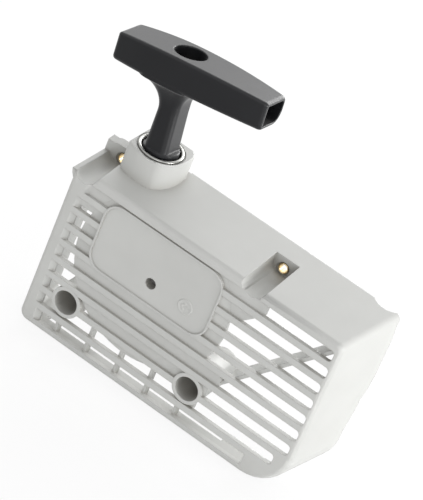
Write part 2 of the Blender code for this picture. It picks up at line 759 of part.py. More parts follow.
def bar_section(u, inset):
    """Cross-section of the grip bar at a station along it."""
    share = (u / (GRIP_RIGHT if u > 0 else GRIP_LEFT)) ** 2
    half = GRIP_HALF_DEPTH + (GRIP_END_HALF_DEPTH - GRIP_HALF_DEPTH) * share - inset
    crown = GRIP_TOP - GRIP_END_DROP * share
    height = GRIP_HEIGHT + (GRIP_END_HEIGHT - GRIP_HEIGHT) * share
    radii = [max(radius - inset, LEAST_RADIUS) for radius in GRIP_RADII]
    if u > 0:
        radii[2] += (GRIP_BACK_ROLL - GRIP_RADII[2]) * share
    outline = rounded(-half, half, crown - height + inset, crown - inset, radii, 5)
    return [(u, v, h) for v, h in outline]


def grip_bar(line):
    """Crowned bar, widest over the stem."""
    rings = []
    for side, reach in ((-1.0, GRIP_LEFT), (1.0, GRIP_RIGHT)):
        stations = [reach * i / 8 for i in range(8)]
        half = [bar_section(side * u, 0.0) for u in stations]
        for degrees in (0.0, 30.0, 60.0, 90.0):
            angle = math.radians(degrees)
            half.append(bar_section(side * (reach - GRIP_END_ROLL * (1.0 - math.sin(angle))),
                                    GRIP_END_EDGE * (1.0 - math.cos(angle))))
        rings = list(reversed(half)) if side < 0 else rings + half[1:]
    return loft("grip", rings, parent=line)


def fillet_reach(h, bar_floor, width, height):
    """How far a fillet under the bar reaches out at a height."""
    share = min(max((h - bar_floor + height) / height, 0.0), 0.998)
    return width * (1.0 - math.sqrt(1.0 - share * share))


def grip_stem(line):
    """Stem that widens in a fillet under the bar, wider on the left."""
    bar_floor = GRIP_TOP - GRIP_HEIGHT
    neck = bar_floor - STEM_FILLET_LEFT[1]
    heights = [-STEM_SINK, neck / 3, neck * 2 / 3, neck]
    for degrees in (15.0, 30.0, 45.0, 60.0, 75.0, 86.0):
        heights.append(neck + STEM_FILLET_LEFT[1] * math.sin(math.radians(degrees)))
    heights.append(bar_floor + 4 * MERGE)
    rings = []
    for h in heights:
        share = min(max(h, 0.0) / neck, 1.0)
        half_u = STEM_BASE[0] + (STEM_NECK[0] - STEM_BASE[0]) * share
        half_v = STEM_BASE[1] + (STEM_NECK[1] - STEM_BASE[1]) * share
        half_v += fillet_reach(h, bar_floor, STEM_SPREAD, STEM_FILLET_LEFT[1])
        left = half_u + fillet_reach(h, bar_floor, *STEM_FILLET_LEFT)
        right = half_u + fillet_reach(h, bar_floor, *STEM_FILLET_RIGHT)
        outline = rounded(-left, right, -half_v, half_v, [STEM_CORNER] * 4, 5)
        rings.append([(u, v, h) for u, v in outline])
    return loft("grip_stem", rings, parent=line)


def grip_foot(line):
    """Ball-shaped foot that sits in the bush at any tilt."""
    profile = [(0.0, FOOT_CROWN)]
    for degrees in (6.0, 0.0, -9.0, -18.0, -25.5):
        angle = math.radians(degrees)
        profile.append((FOOT_RADIUS * math.cos(angle), FOOT_RADIUS * math.sin(angle)))
    profile.append((0.0, -FOOT_DEPTH))
    return turned("grip_foot", profile, parent=line, axis="Z")


def build_grip(line):
    """Hollow moulded T-grip with its foot in the bush."""
    grip = grip_bar(line)
    combine(grip, "UNION", [grip_stem(line), grip_foot(line)], "grip_forms")
    cuts = []
    for side, reach in ((-1.0, GRIP_LEFT), (1.0, GRIP_RIGHT)):
        run = reach + OVERRUN / 5 - GRIP_CAVITY_START
        stations = [GRIP_CAVITY_START + run * i / 5 for i in range(6)]
        rings = [bar_section(side * u, GRIP_WALL) for u in stations]
        cuts.append(loft("grip_cavity", rings, parent=line, collection=CUTTERS))
    cuts.append(turned("knot_well", (
        (0.0, GRIP_TOP + OVERRUN), (KNOT_WELL_RADIUS, GRIP_TOP + OVERRUN),
        (KNOT_WELL_RADIUS, GRIP_TOP - KNOT_WELL_DEPTH),
        (ROPE_HOLE_RADIUS, GRIP_TOP - KNOT_WELL_DEPTH), (ROPE_HOLE_RADIUS, -FOOT_DEPTH - OVERRUN),
        (0.0, -FOOT_DEPTH - OVERRUN),
    ), parent=line, collection=CUTTERS, axis="Z"))
    combine(grip, "DIFFERENCE", cuts, "grip_hollows")
    dress(grip, material("black_moulding", (0.025, 0.025, 0.027), 0.42))


def pull_in_plane():
    """Pull direction seen along the rotor axis, and the way from the bush to that axis."""
    way = Vector((AXIS_X - ROPE_X, AXIS_Z - COLLAR_TOP))
    direction = Vector((-math.sin(LEAN_LEFT), math.cos(LEAN_LEFT)))
    return way, direction


def rope_radius():
    """Distance from the rotor axis to the pull line."""
    way, direction = pull_in_plane()
    return abs(direction.x * way.y - direction.y * way.x)


def rope_reach():
    """Length of the pull line from the bush down to where it meets the pulley."""
    way, direction = pull_in_plane()
    drop = -way.dot(direction) * math.cos(LEAN_LEFT)
    return drop / pull_direction().z


def groove_y():
    """Depth of the pulley groove: where the pull line meets it."""
    return ROPE_Y - rope_reach() * pull_direction().y


def build_rope(line, axis):
    """Rope from its knot in the grip down to the pulley, and its turns on the pulley."""
    cord = material("rope", (0.62, 0.60, 0.55), 0.8)
    well_floor_height = GRIP_TOP - KNOT_WELL_DEPTH
    lead = wire("rope_lead", [
        (0.0, 0.0, well_floor_height - GAP), (0.0, 0.0, -rope_reach() + GAP),
    ], ROPE_RADIUS, parent=line)
    dress(lead, cord)
    knot = turned("grip_knot", KNOT_PROFILE, parent=line, axis="Z", steps=SMALL_ROUND)
    knot.location = (0.0, 0.0, well_floor_height + GAP)
    dress(knot, cord.copy())

    outer = rope_radius()
    stack = outer - ROPE_RADIUS - GAP
    half = GROOVE_HALF_WIDTH - GAP
    coil = turned("rope_coil", (
        (stack, groove_y() + half), (stack, groove_y() - half),
        (GROOVE_RADIUS + GAP, groove_y() - half), (GROOVE_RADIUS + GAP, groove_y() + half),
    ), parent=axis)
    start = math.pi + LEAN_LEFT + ROPE_END_TURN
    points = []
    for i in range(41):
        share = i / 40
        angle = start + share * math.radians(230.0)
        radius = outer - ROPE_TUCK * max(0.0, share - 0.15) / 0.85
        points.append((radius * math.cos(angle), groove_y(), radius * math.sin(angle)))
    turn = wire("rope_outer_turn", points, ROPE_RADIUS, parent=axis)
    combine(coil, "UNION", [turn], "rope_forms")
    dress(coil, cord.copy())

    knot = turned("rotor_knot", ROTOR_KNOT_PROFILE, parent=axis, axis="Y", steps=SMALL_ROUND)
    knot.location = (0.0, rear_flange_back() + GAP, ROTOR_KNOT_PLACE)
    dress(knot, cord.copy())


def rear_flange_back():
    """Depth of the pulley's rear face."""
    return groove_y() + ROTOR_HALF_WIDTH


def rear_hub_back():
    """Depth of the pulley's rear hub face."""
    return rear_flange_back() + REAR_HUB_HEIGHT


def build_rotor(axis):
    """Rope pulley with its hub, pawl posts and bearing bush."""
    back = rear_flange_back()
    middle = groove_y()
    front = middle - ROTOR_HALF_WIDTH
    bush_hole = ROTOR_BUSH_OUTER + GAP
    profile = (
        (FLANGE_RADIUS, back), (FLANGE_RADIUS, middle + RIM_HALF_WIDTH),
        (GROOVE_RADIUS, middle + GROOVE_HALF_WIDTH), (GROOVE_RADIUS, middle - GROOVE_HALF_WIDTH),
        (FLANGE_RADIUS, middle - RIM_HALF_WIDTH), (FLANGE_RADIUS, front), (HUB_FRONT_RADIUS, front),
        (HUB_FRONT_RADIUS, HUB_FRONT), (HUB_BORE, HUB_FRONT), (HUB_BORE, front), (bush_hole, front),
        (bush_hole, rear_hub_back()), (REAR_HUB_RADIUS, rear_hub_back()), (REAR_HUB_RADIUS, back),
    )
    rotor = turned("rope_rotor", profile, parent=axis, steps=48)
    posts = [
        rod("pawl_post", PAWL_POST_RADIUS, back - 2.5 * MERGE,
            back + PAWL_THICKNESS + PAWL_POST_END, side * PAWL_PIVOT, 0.0, parent=axis,
            steps=SMALL_ROUND)
        for side in (-1.0, 1.0)
    ]
    combine(rotor, "UNION", posts, "rotor_posts")
    hole = rod("rotor_knot_hole", ROPE_HOLE_RADIUS, middle + GROOVE_HALF_WIDTH - 2.5 * MERGE,
               back + OVERRUN, 0.0, ROTOR_KNOT_PLACE, parent=axis, collection=CUTTERS,
               steps=SMALL_ROUND)
    combine(rotor, "DIFFERENCE", [hole], "rotor_holes")
    dress(rotor, material("rotor_moulding", (0.05, 0.05, 0.055), 0.5))
    bush = tube("rotor_bush", ROTOR_BUSH_OUTER, PIN_RADIUS + RUNNING_FIT, front + GAP,
                rear_hub_back() - GAP, parent=axis)
    dress(bush, material("bronze_bush", (0.55, 0.42, 0.25), 0.4, 1.0))


def build_pin():
    """Steel bearing pin pressed in the cover's post, with its clip groove."""
    hub_back = rear_hub_back()
    pin_back = hub_back + PIN_END
    groove_front = hub_back + 3 * GAP + WASHER_THICKNESS
    groove_back = groove_front + WASHER_THICKNESS + 2 * GAP
    radius = PIN_RADIUS
    pin = turned("bearing_pin", (
        (0.0, pin_back), (radius - PIN_CHAMFER, pin_back), (radius, pin_back - PIN_CHAMFER),
        (radius, groove_back), (CLIP_GROOVE_RADIUS, groove_back), (CLIP_GROOVE_RADIUS, groove_front),
        (radius, groove_front), (radius, PIN_FRONT), (0.0, PIN_FRONT),
    ))
    pin.location = (AXIS_X, 0.0, AXIS_Z)
    steel = material("pin_steel", (0.45, 0.45, 0.46), 0.3, 1.0)
    dress(pin, steel)
    washer = tube("thrust_washer", WASHER_RADIUS, PIN_RADIUS + RUNNING_FIT, hub_back + GAP,
                  hub_back + GAP + WASHER_THICKNESS, AXIS_X, AXIS_Z)
    dress(washer, steel.copy())
    clip_front = groove_front + GAP
    outline = []
    for i in range(25):
        angle = math.radians(-60.0 + 300.0 * i / 24)
        outline.append((CLIP_RADIUS * math.cos(angle), CLIP_RADIUS * math.sin(angle)))
    inner = CLIP_GROOVE_RADIUS + RUNNING_FIT
    for i in range(25):
        angle = math.radians(240.0 - 300.0 * i / 24)
        outline.append((inner * math.cos(angle), inner * math.sin(angle)))
    clip = plate("e_clip", outline, clip_front, clip_front + WASHER_THICKNESS)
    clip.location = (AXIS_X, 0.0, AXIS_Z)
    dress(clip, steel.copy())


def build_cassette():
    """Spring cup behind the well floor, with the rewind spring in it."""
    front = SEAT_STEP_BACK + GAP
    inner = CASSETTE_RADIUS - CASSETTE_WALL
    floor = CASSETTE_BACK - CASSETTE_WALL
    cassette = turned("spring_cassette", (
        (CASSETTE_RADIUS, CASSETTE_BACK), (CASSETTE_RADIUS, front), (inner, front), (inner, floor),
        (CASSETTE_HOLE, floor), (CASSETTE_HOLE, CASSETTE_BACK),
    ))
    cassette.location = (AXIS_X, 0.0, AXIS_Z)
    dress(cassette, material("cassette_moulding", (0.06, 0.06, 0.065), 0.5))

    rings = []
    stations = int(SPRING_TURNS * 30)
    near = front + SPRING_FRONT_GAP
    far = floor - SPRING_BACK_GAP
    for i in range(stations + 1):
        share = i / stations
        angle = 2 * math.pi * SPRING_TURNS * share
        radius = SPRING_INNER + (SPRING_OUTER - SPRING_INNER) * share
        ring = []
        for r, y in ((radius, near), (radius + SPRING_THICKNESS, near),
                     (radius + SPRING_THICKNESS, far), (radius, far)):
            ring.append((r * math.cos(angle), y, r * math.sin(angle)))
        rings.append(ring)
    spring = loft("rewind_spring", rings)
    spring.location = (AXIS_X, 0.0, AXIS_Z)
    dress(spring, material("spring_steel", (0.30, 0.31, 0.33), 0.3, 1.0))


def build_pawls(axis):
    """Two pawls on the pulley's posts and the wire clip that swings them out."""
    front = rear_flange_back() + GAP
    hole = PAWL_POST_RADIUS + RUNNING_FIT
    outline = []
    for i in range(15):
        angle = math.radians(170.0 + 220.0 * i / 14)
        outline.append((PAWL_HEEL_RADIUS * math.cos(angle), PAWL_HEEL_RADIUS * math.sin(angle)))
    outline += PAWL_NOSE
    steel = material("pawl_steel", (0.35, 0.35, 0.36), 0.38, 1.0)
    for number, side in ((1, 1.0), (2, -1.0)):
        pivot = bpy.data.objects.new("pawl_%d_pivot" % number, None)
        COVER.objects.link(pivot)
        pivot.parent = axis
        pivot.location = (side * PAWL_PIVOT, 0.0, 0.0)
        pivot.rotation_euler = (0.0, 0.0 if side > 0 else math.pi, 0.0)
        pawl = plate("pawl_%d" % number, outline, front, front + PAWL_THICKNESS, parent=pivot)
        bore = rod("pawl_bore", hole, front - OVERRUN, front + OVERRUN, parent=pivot,
                   collection=CUTTERS, steps=SMALL_ROUND)
        combine(pawl, "DIFFERENCE", [bore], "pawl_bore_%d" % number)
        dress(pawl, steel.copy())
    depth = rear_flange_back() + PAWL_SPRING_STAND
    reach, spread = PAWL_SPRING_ARM
    points = [(reach, depth, -spread)]
    for i in range(25):
        angle = math.radians(-28.0 - 304.0 * i / 24)
        points.append((PAWL_SPRING_RADIUS * math.cos(angle), depth,
                       PAWL_SPRING_RADIUS * math.sin(angle)))
    points.append((reach, depth, spread))
    clip = wire("pawl_spring", points, PAWL_SPRING_WIRE, parent=axis)
    dress(clip, material("clip_wire", (0.50, 0.50, 0.50), 0.3, 1.0))


def build_all():
    """Every piece of the assembly."""
    build_cover()
    build_sleeves()
    build_bush()
    line = pull_frame()
    axis = bpy.data.objects.new("rotor_axis", None)
    COVER.objects.link(axis)
    axis.parent = FRAME
    axis.location = (AXIS_X, 0.0, AXIS_Z)
    build_grip(line)
    build_rope(line, axis)
    build_rotor(axis)
    build_pin()
    build_cassette()
    build_pawls(axis)
    CUTTERS.hide_render = True
    bpy.context.view_layer.update()


build_all()
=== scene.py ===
"""Looks of a recoil starter cover with a T-grip: finishes, fine pieces, studio and camera, in metres.

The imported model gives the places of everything. +X runs to the right along the louvred front, +Y from
the front to the engine side, +Z up to the grip.
"""
import json
import logging
import math
from dataclasses import dataclass
from enum import Enum

import bmesh
import bpy
from mathutils import Matrix, Vector


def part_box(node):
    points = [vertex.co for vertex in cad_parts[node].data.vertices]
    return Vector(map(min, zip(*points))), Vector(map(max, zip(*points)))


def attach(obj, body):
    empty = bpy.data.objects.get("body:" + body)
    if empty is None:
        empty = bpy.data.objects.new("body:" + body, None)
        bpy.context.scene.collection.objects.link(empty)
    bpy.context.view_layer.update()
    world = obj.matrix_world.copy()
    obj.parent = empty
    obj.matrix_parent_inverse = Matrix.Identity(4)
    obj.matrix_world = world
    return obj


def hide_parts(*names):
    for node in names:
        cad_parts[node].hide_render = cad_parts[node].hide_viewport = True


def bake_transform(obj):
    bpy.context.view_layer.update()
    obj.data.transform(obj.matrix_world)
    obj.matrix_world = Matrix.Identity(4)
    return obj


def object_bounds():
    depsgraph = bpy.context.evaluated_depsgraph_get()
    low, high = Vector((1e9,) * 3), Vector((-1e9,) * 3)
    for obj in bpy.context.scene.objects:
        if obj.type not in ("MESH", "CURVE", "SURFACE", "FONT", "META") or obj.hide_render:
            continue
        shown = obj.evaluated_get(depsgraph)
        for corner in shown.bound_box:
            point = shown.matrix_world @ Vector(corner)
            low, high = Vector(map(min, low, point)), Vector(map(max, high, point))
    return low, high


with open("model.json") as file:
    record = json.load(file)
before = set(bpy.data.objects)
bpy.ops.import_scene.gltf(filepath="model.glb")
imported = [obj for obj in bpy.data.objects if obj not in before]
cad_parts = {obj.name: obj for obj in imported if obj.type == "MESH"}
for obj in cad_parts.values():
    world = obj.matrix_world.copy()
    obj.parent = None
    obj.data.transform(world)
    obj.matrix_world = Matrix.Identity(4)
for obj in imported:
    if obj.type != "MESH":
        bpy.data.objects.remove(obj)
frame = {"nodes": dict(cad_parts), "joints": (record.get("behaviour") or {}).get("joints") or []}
CAD_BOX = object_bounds()
LOG = logging.getLogger("starter_cover")

# Edges sharper than these stay sharp, in degrees
SHARP_EDGE = 32.0
ROPE_EDGE = 50.0
FLAT_TURN = 0.4

# How far large faces lead in the shading of their neighbours, 0 to 100
FLAT_LEAD = 100

# Points nearer than these are one point
NODE_WELD = 0.000002
AXIS_WELD = 0.000001
CARVE_WELD = 0.000004

# Where the rope leaves the bush, and the point that the camera looks at
ROPE_MOUTH = (-0.0622, 0.0051, 0.1400)
VIEW_CENTRE = (-0.0053, 0.0, 0.1031)

Colour = tuple[float, float, float]
Ring = list[Vector]


class Body(Enum):
    """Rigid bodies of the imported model."""

    COVER = "cover"
    GRIP = "grip"
    ROTOR = "rotor"
    FIRST_PAWL = "pawl_1"
    SECOND_PAWL = "pawl_2"


class Slot(Enum):
    """Material slots of the record."""

    HOUSING = "grey_housing"
    GRIP = "black_grip"
    INNER = "black_inner_plastic"
    BRIGHT = "bright_steel"
    BRASS = "sleeve_brass"
    BRONZE = "bronze"
    PIN = "pin_steel"
    PAWL = "pawl_steel"
    SPRING = "spring_steel"
    ROPE = "rope"


class BraidAxis(Enum):
    """What the braid of a rope is measured along."""

    WINDING = "winding"
    PULL = "pull"


class FinishSheet:
    """Lays out the nodes of one finish."""

    edge_rays: int = 6
    edge_span: tuple[float, float] = (0.82, 0.995)
    recess_rays: int = 8

    def __init__(self, name: str) -> None:
        """Start a material that holds one Principled shader.

        Args:
            name: Name of the material.
        """
        self.material = bpy.data.materials.new(name)
        self.material.use_nodes = True
        self.nodes = self.material.node_tree.nodes
        self.links = self.material.node_tree.links
        self.shader = self.nodes["Principled BSDF"]

    def add(self, kind: str, inputs: dict | None = None, **settings: object) -> bpy.types.Node:
        """Add a node.

        Args:
            kind: Node type, such as ShaderNodeTexNoise.
            inputs: Input name or index to a constant or to another node's output.
            settings: Properties of the node itself.

        Returns:
            The new node.
        """
        made = self.nodes.new(kind)
        for key, value in settings.items():
            setattr(made, key, value)
        for key, value in (inputs or {}).items():
            if isinstance(value, bpy.types.NodeSocket):
                self.links.new(value, made.inputs[key])
            else:
                made.inputs[key].default_value = value
        return made

    def place(self) -> bpy.types.NodeSocket:
        """Return the object's own coordinates, in metres."""
        return self.add("ShaderNodeTexCoord").outputs["Object"]

    def noise(self, place: bpy.types.NodeSocket, pitch: float, detail: float) -> bpy.types.NodeSocket:
        """Add a cloud of noise.

        Args:
            place: Coordinates to read.
            pitch: Size of one cloud, in metres.
            detail: Number of finer layers.

        Returns:
            The noise value, about 0 to 1.
        """
        made = self.add("ShaderNodeTexNoise", {"Vector": place, "Scale": 1.0 / pitch, "Detail": detail})
        return made.outputs["Fac"]

    def span(self, value: bpy.types.NodeSocket, low: float, high: float,
             start: float = 0.3, end: float = 0.7) -> bpy.types.NodeSocket:
        """Map a value from start and end to low and high.

        Args:
            value: Value to map.
            low: Result at the start.
            high: Result at the end.
            start: Value that gives low.
            end: Value that gives high.

        Returns:
            The mapped value.
        """
        made = self.add("ShaderNodeMapRange", {
            "Value": value, "From Min": start, "From Max": end, "To Min": low, "To Max": high,
        })
        return made.outputs["Result"]

    def sums(self, operation: str, first: object, second: object = 0.0) -> bpy.types.NodeSocket:
        """Join two values with a Math node.

        Args:
            operation: Math operation, such as ADD.
            first: First value or output.
            second: Second value or output.

        Returns:
            The result.
        """
        return self.add("ShaderNodeMath", {0: first, 1: second}, operation=operation).outputs[0]

    def blend(self, share: object, first: object, second: object) -> bpy.types.NodeSocket:
        """Mix two colours.

        Args:
            share: Part of the second colour.
            first: First colour or output.
            second: Second colour or output.

        Returns:
            The mixed colour.
        """
        made = self.add("ShaderNodeMix", data_type="RGBA")
        for socket, value in ((made.inputs[0], share), (made.inputs[6], first), (made.inputs[7], second)):
            if isinstance(value, bpy.types.NodeSocket):
                self.links.new(value, socket)
            else:
                socket.default_value = value if isinstance(value, float) else (*value, 1.0)
        return made.outputs[2]

    def soft_edge(self, radius: float) -> tuple[bpy.types.NodeSocket, bpy.types.NodeSocket]:
        """Round the shading of the edges.

        Args:
            radius: Radius of the rounding, in metres.

        Returns:
            The rounded normal, and a mask that is 0 on flats and 1 on edges.
        """
        turned = self.add("ShaderNodeBevel", {"Radius": radius}, samples=self.edge_rays).outputs["Normal"]
        flat = self.add("ShaderNodeNewGeometry").outputs["Normal"]
        dot = self.add("ShaderNodeVectorMath", {0: turned, 1: flat}, operation="DOT_PRODUCT")
        mask = self.span(dot.outputs["Value"], 1.0, 0.0, *self.edge_span)
        return turned, mask

    def recess(self, reach: float) -> bpy.types.NodeSocket:
        """Add a mask of hollows and corners.

        Args:
            reach: How far the surroundings count, in metres.

        Returns:
            1 in the open, towards 0 deep in a recess.
        """
        made = self.add("ShaderNodeAmbientOcclusion", {"Distance": reach}, samples=self.recess_rays,
                        only_local=True)
        return made.outputs["AO"]

    def relief(self, height: bpy.types.NodeSocket, depth: float,
               normal: bpy.types.NodeSocket | None = None) -> None:
        """Give the shader a bump.

        Args:
            height: Height value, 0 to 1.
            depth: Height of the relief, in metres.
            normal: Normal to build on.
        """
        inputs = {"Height": height, "Distance": depth, "Strength": 1.0}
        if normal:
            inputs["Normal"] = normal
        self.feed("Normal", self.add("ShaderNodeBump", inputs).outputs["Normal"])

    def feed(self, name: str, value: object) -> None:
        """Set or link one socket of the shader.

        Args:
            name: Name of the socket.
            value: A constant or another node's output.
        """
        if isinstance(value, bpy.types.NodeSocket):
            self.links.new(value, self.shader.inputs[name])
        else:
            self.shader.inputs[name].default_value = value


def toned(colour: Colour, share: float) -> Colour:
    """Return a colour made lighter or darker by a share."""
    return tuple(min(channel * share, 1.0) for channel in colour)


@dataclass(frozen=True)
class MouldedFinish:
    """Moulded plastic: fine spark grain, faint flow clouds, smoother edges painted paler as a highlight,
    painted shade in recesses.
    """

    name: str
    colour: Colour
    roughness: float
    grain_pitch: float = 0.0007
    grain_depth: float = 0.000012
    flow_pitch: float = 0.035
    flow: float = 0.03
    edge_radius: float = 0.0006
    # How much lighter the edges are painted, as a highlight
    painted_edge_highlight: float = 1.12
    edge_polish: float = 0.08
    smoother: float = 0.03
    duller: float = 0.04
    shine: float = 0.5
    bloom: float = 0.0
    bloom_roughness: float = 0.4
    # Colour, reach and start of the painted shade that darkens hollows and corners
    painted_recess_shade: Colour | None = None
    painted_shade_reach: float = 0.018
    painted_shade_start: float = 0.78

    def make(self) -> bpy.types.Material:
        """Lay out the plastic.

        Returns:
            The material.
        """
        sheet = FinishSheet(self.name)
        place = sheet.place()
        flow = sheet.noise(place, self.flow_pitch, 3.0)
        grain = sheet.noise(place, self.grain_pitch, 2.0)
        normal, edge = sheet.soft_edge(self.edge_radius)
        body = sheet.blend(sheet.span(flow, 0.0, 1.0), toned(self.colour, 1.0 - self.flow),
                           toned(self.colour, 1.0 + self.flow))
        # Edges are painted lighter as a highlight
        body = sheet.blend(edge, body, toned(self.colour, self.painted_edge_highlight))
        # Hollows and corners are painted darker towards this colour, as shade
        if self.painted_recess_shade:
            share = sheet.span(sheet.recess(self.painted_shade_reach), 1.0, 0.0, 0.0, self.painted_shade_start)
            body = sheet.blend(share, body, self.painted_recess_shade)
        sheet.feed("Base Color", body)
        wear = sheet.span(edge, 0.0, -self.edge_polish, 0.0, 1.0)
        drift = sheet.span(flow, self.roughness - self.smoother, self.roughness + self.duller)
        sheet.feed("Roughness", sheet.sums("ADD", drift, wear))
        sheet.feed("Specular IOR Level", self.shine)
        sheet.feed("Sheen Weight", self.bloom)
        sheet.feed("Sheen Roughness", self.bloom_roughness)
        sheet.relief(grain, self.grain_depth, normal)
        return sheet.material


@dataclass(frozen=True)
class MetalFinish:
    """Bare metal: fine tool marks, uneven sheen, edges painted brighter as a highlight."""

    name: str
    colour: Colour
    roughness: float
    cloud_pitch: float = 0.006
    mark_pitch: float = 0.0004
    mark_depth: float = 0.000004
    mark_stretch: tuple[float, float, float] = (1.0, 1.0, 8.0)
    stain: float = 0.10
    smoother: float = 0.05
    duller: float = 0.08
    edge_radius: float = 0.0003
    painted_edge_highlight: float = 1.25

    def make(self) -> bpy.types.Material:
        """Lay out the metal.

        Returns:
            The material.
        """
        sheet = FinishSheet(self.name)
        place = sheet.place()
        cloud = sheet.noise(place, self.cloud_pitch, 3.0)
        stretched = sheet.add("ShaderNodeMapping", {"Vector": place, "Scale": self.mark_stretch})
        marks = sheet.noise(stretched.outputs["Vector"], self.mark_pitch, 2.0)
        normal, edge = sheet.soft_edge(self.edge_radius)
        body = sheet.blend(sheet.span(cloud, 0.0, 1.0), toned(self.colour, 1.0 - self.stain), self.colour)
        # Edges are painted brighter as a highlight
        sheet.feed("Base Color", sheet.blend(edge, body, toned(self.colour, self.painted_edge_highlight)))
        sheet.feed("Metallic", 1.0)
        drift = sheet.span(cloud, self.roughness - self.smoother, self.roughness + self.duller)
        sheet.feed("Roughness", drift)
        sheet.relief(marks, self.mark_depth, normal)
        return sheet.material


@dataclass(frozen=True)
class BraidFinish:
    """Braided starter rope: crossing strands with fine fibres."""

    name: str
    colour: Colour
    axis: BraidAxis
    pull: tuple[float, float, float] = (0.0, 0.0, 1.0)
    strand_pitch: float = 0.0032
    strands: float = 6.0
    strand_depth: float = 0.00025
    fibre_pitch: float = 0.00025
    gap_shade: float = 0.55
    fibre_lift: float = 1.15
    fibre_share: float = 0.35
    strand_rise: float = 0.8
    fibre_rise: float = 0.2
    roughness: float = 0.85
    fuzz: float = 0.25

    def make(self) -> bpy.types.Material:
        """Lay out the braid.

        Returns:
            The material.
        """
        sheet = FinishSheet(self.name)
        place = sheet.place()
        split = sheet.add("ShaderNodeSeparateXYZ", {0: sheet.add("ShaderNodeTexCoord").outputs["UV"]})
        if self.axis is BraidAxis.PULL:
            dot = sheet.add("ShaderNodeVectorMath", {0: place, 1: self.pull}, operation="DOT_PRODUCT")
            along = dot.outputs["Value"]
        else:
            along = split.outputs["X"]
        turns = sheet.sums("MULTIPLY", along, 2.0 * math.pi / self.strand_pitch)
        round_it = sheet.sums("MULTIPLY", split.outputs["Y"], math.pi * self.strands)
        left = sheet.sums("SINE", sheet.sums("ADD", turns, round_it))
        right = sheet.sums("SINE", sheet.sums("SUBTRACT", turns, round_it))
        braid = sheet.sums("MAXIMUM", left, right)
        fibres = sheet.noise(place, self.fibre_pitch, 2.0)
        body = sheet.blend(sheet.span(braid, 0.0, 1.0, -0.4, 1.0), toned(self.colour, self.gap_shade),
                           self.colour)
        sheet.feed("Base Color", sheet.blend(sheet.span(fibres, 0.0, self.fibre_share), body,
                                             toned(self.colour, self.fibre_lift)))
        sheet.feed("Roughness", self.roughness)
        sheet.feed("Sheen Weight", self.fuzz)
        height = sheet.sums("ADD", sheet.span(braid, 0.0, self.strand_rise, -1.0, 1.0),
                            sheet.sums("MULTIPLY", fibres, self.fibre_rise))
        sheet.relief(height, self.strand_depth)
        return sheet.material


def piece_from(work: bmesh.types.BMesh, name: str, angle: float = SHARP_EDGE) -> bpy.types.Object:
    """Turn a working mesh into a piece with smooth shading between its real edges.

    Args:
        work: Working mesh, which is freed.
        name: Name of the piece.
        angle: Edges sharper than this stay sharp, in degrees.

    Returns:
        The new object.
    """
    mesh = bpy.data.meshes.new(name)
    bmesh.ops.recalc_face_normals(work, faces=work.faces)
    work.to_mesh(mesh)
    work.free()
    mesh.shade_smooth()
    mesh.set_sharp_from_angle(angle=math.radians(angle))
    made = bpy.data.objects.new(name, mesh)
    bpy.context.scene.collection.objects.link(made)
    return made


def skin(name: str, rings: list[Ring]) -> bpy.types.Object:
    """Skin a row of rings that have the same number of points, with closed ends.

    Args:
        name: Name of the piece.
        rings: Rings of points.

    Returns:
        The new object.
    """
    work = bmesh.new()
    rows = [[work.verts.new(point) for point in ring] for ring in rings]
    count = len(rows[0])
    for near, far in zip(rows, rows[1:]):
        for i in range(count):
            j = (i + 1) % count
            work.faces.new((near[i], near[j], far[j], far[i]))
    work.faces.new(list(reversed(rows[0])))
    work.faces.new(rows[-1])
    return piece_from(work, name)


def revolve(name: str, profile: list[tuple[float, float]], stand: Matrix,
            steps: int) -> bpy.types.Object:
    """Spin a profile of radius and height about the Z axis of a stand.

    Args:
        name: Name of the piece.
        profile: Points of radius and height; a ring profile is closed by itself.
        stand: Place and turn of the axis.
        steps: Steps in one turn.

    Returns:
        The new object.
    """
    work = bmesh.new()
    verts = [work.verts.new((radius, 0.0, height)) for radius, height in profile]
    pairs = list(zip(verts, verts[1:]))
    if all(radius > 0.0 for radius, _ in profile):
        pairs.append((verts[-1], verts[0]))
    for first, second in pairs:
        work.edges.new((first, second))
    bmesh.ops.spin(work, geom=work.verts[:] + work.edges[:], cent=(0, 0, 0), axis=(0, 0, 1),
                   angle=2.0 * math.pi, steps=steps)
    bmesh.ops.remove_doubles(work, verts=work.verts, dist=AXIS_WELD)
    bmesh.ops.transform(work, matrix=stand, verts=work.verts)
    return piece_from(work, name)


def carve(target: bpy.types.Object, tools: list[bpy.types.Object], operation: str) -> None:
    """Join tools to a piece or cut them from it, and drop the tools.

    Args:
        target: The piece.
        tools: The tools, which are removed.
        operation: UNION or DIFFERENCE.
    """
    for tool in tools:
        step = target.modifiers.new(tool.name, "BOOLEAN")
        step.operation = operation
        step.solver = "EXACT"
        step.object = tool
    bpy.context.view_layer.update()
    mesh = bpy.data.meshes.new_from_object(target.evaluated_get(bpy.context.evaluated_depsgraph_get()))
    target.modifiers.clear()
    target.data = mesh
    work = bmesh.new()
    work.from_mesh(mesh)
    bmesh.ops.remove_doubles(work, verts=work.verts, dist=CARVE_WELD)
    bmesh.ops.dissolve_degenerate(work, edges=work.edges, dist=CARVE_WELD)
    work.to_mesh(mesh)
    work.free()
    mesh.shade_smooth()
    mesh.set_sharp_from_angle(angle=math.radians(SHARP_EDGE))
    for tool in tools:
        bpy.data.objects.remove(tool, do_unlink=True)


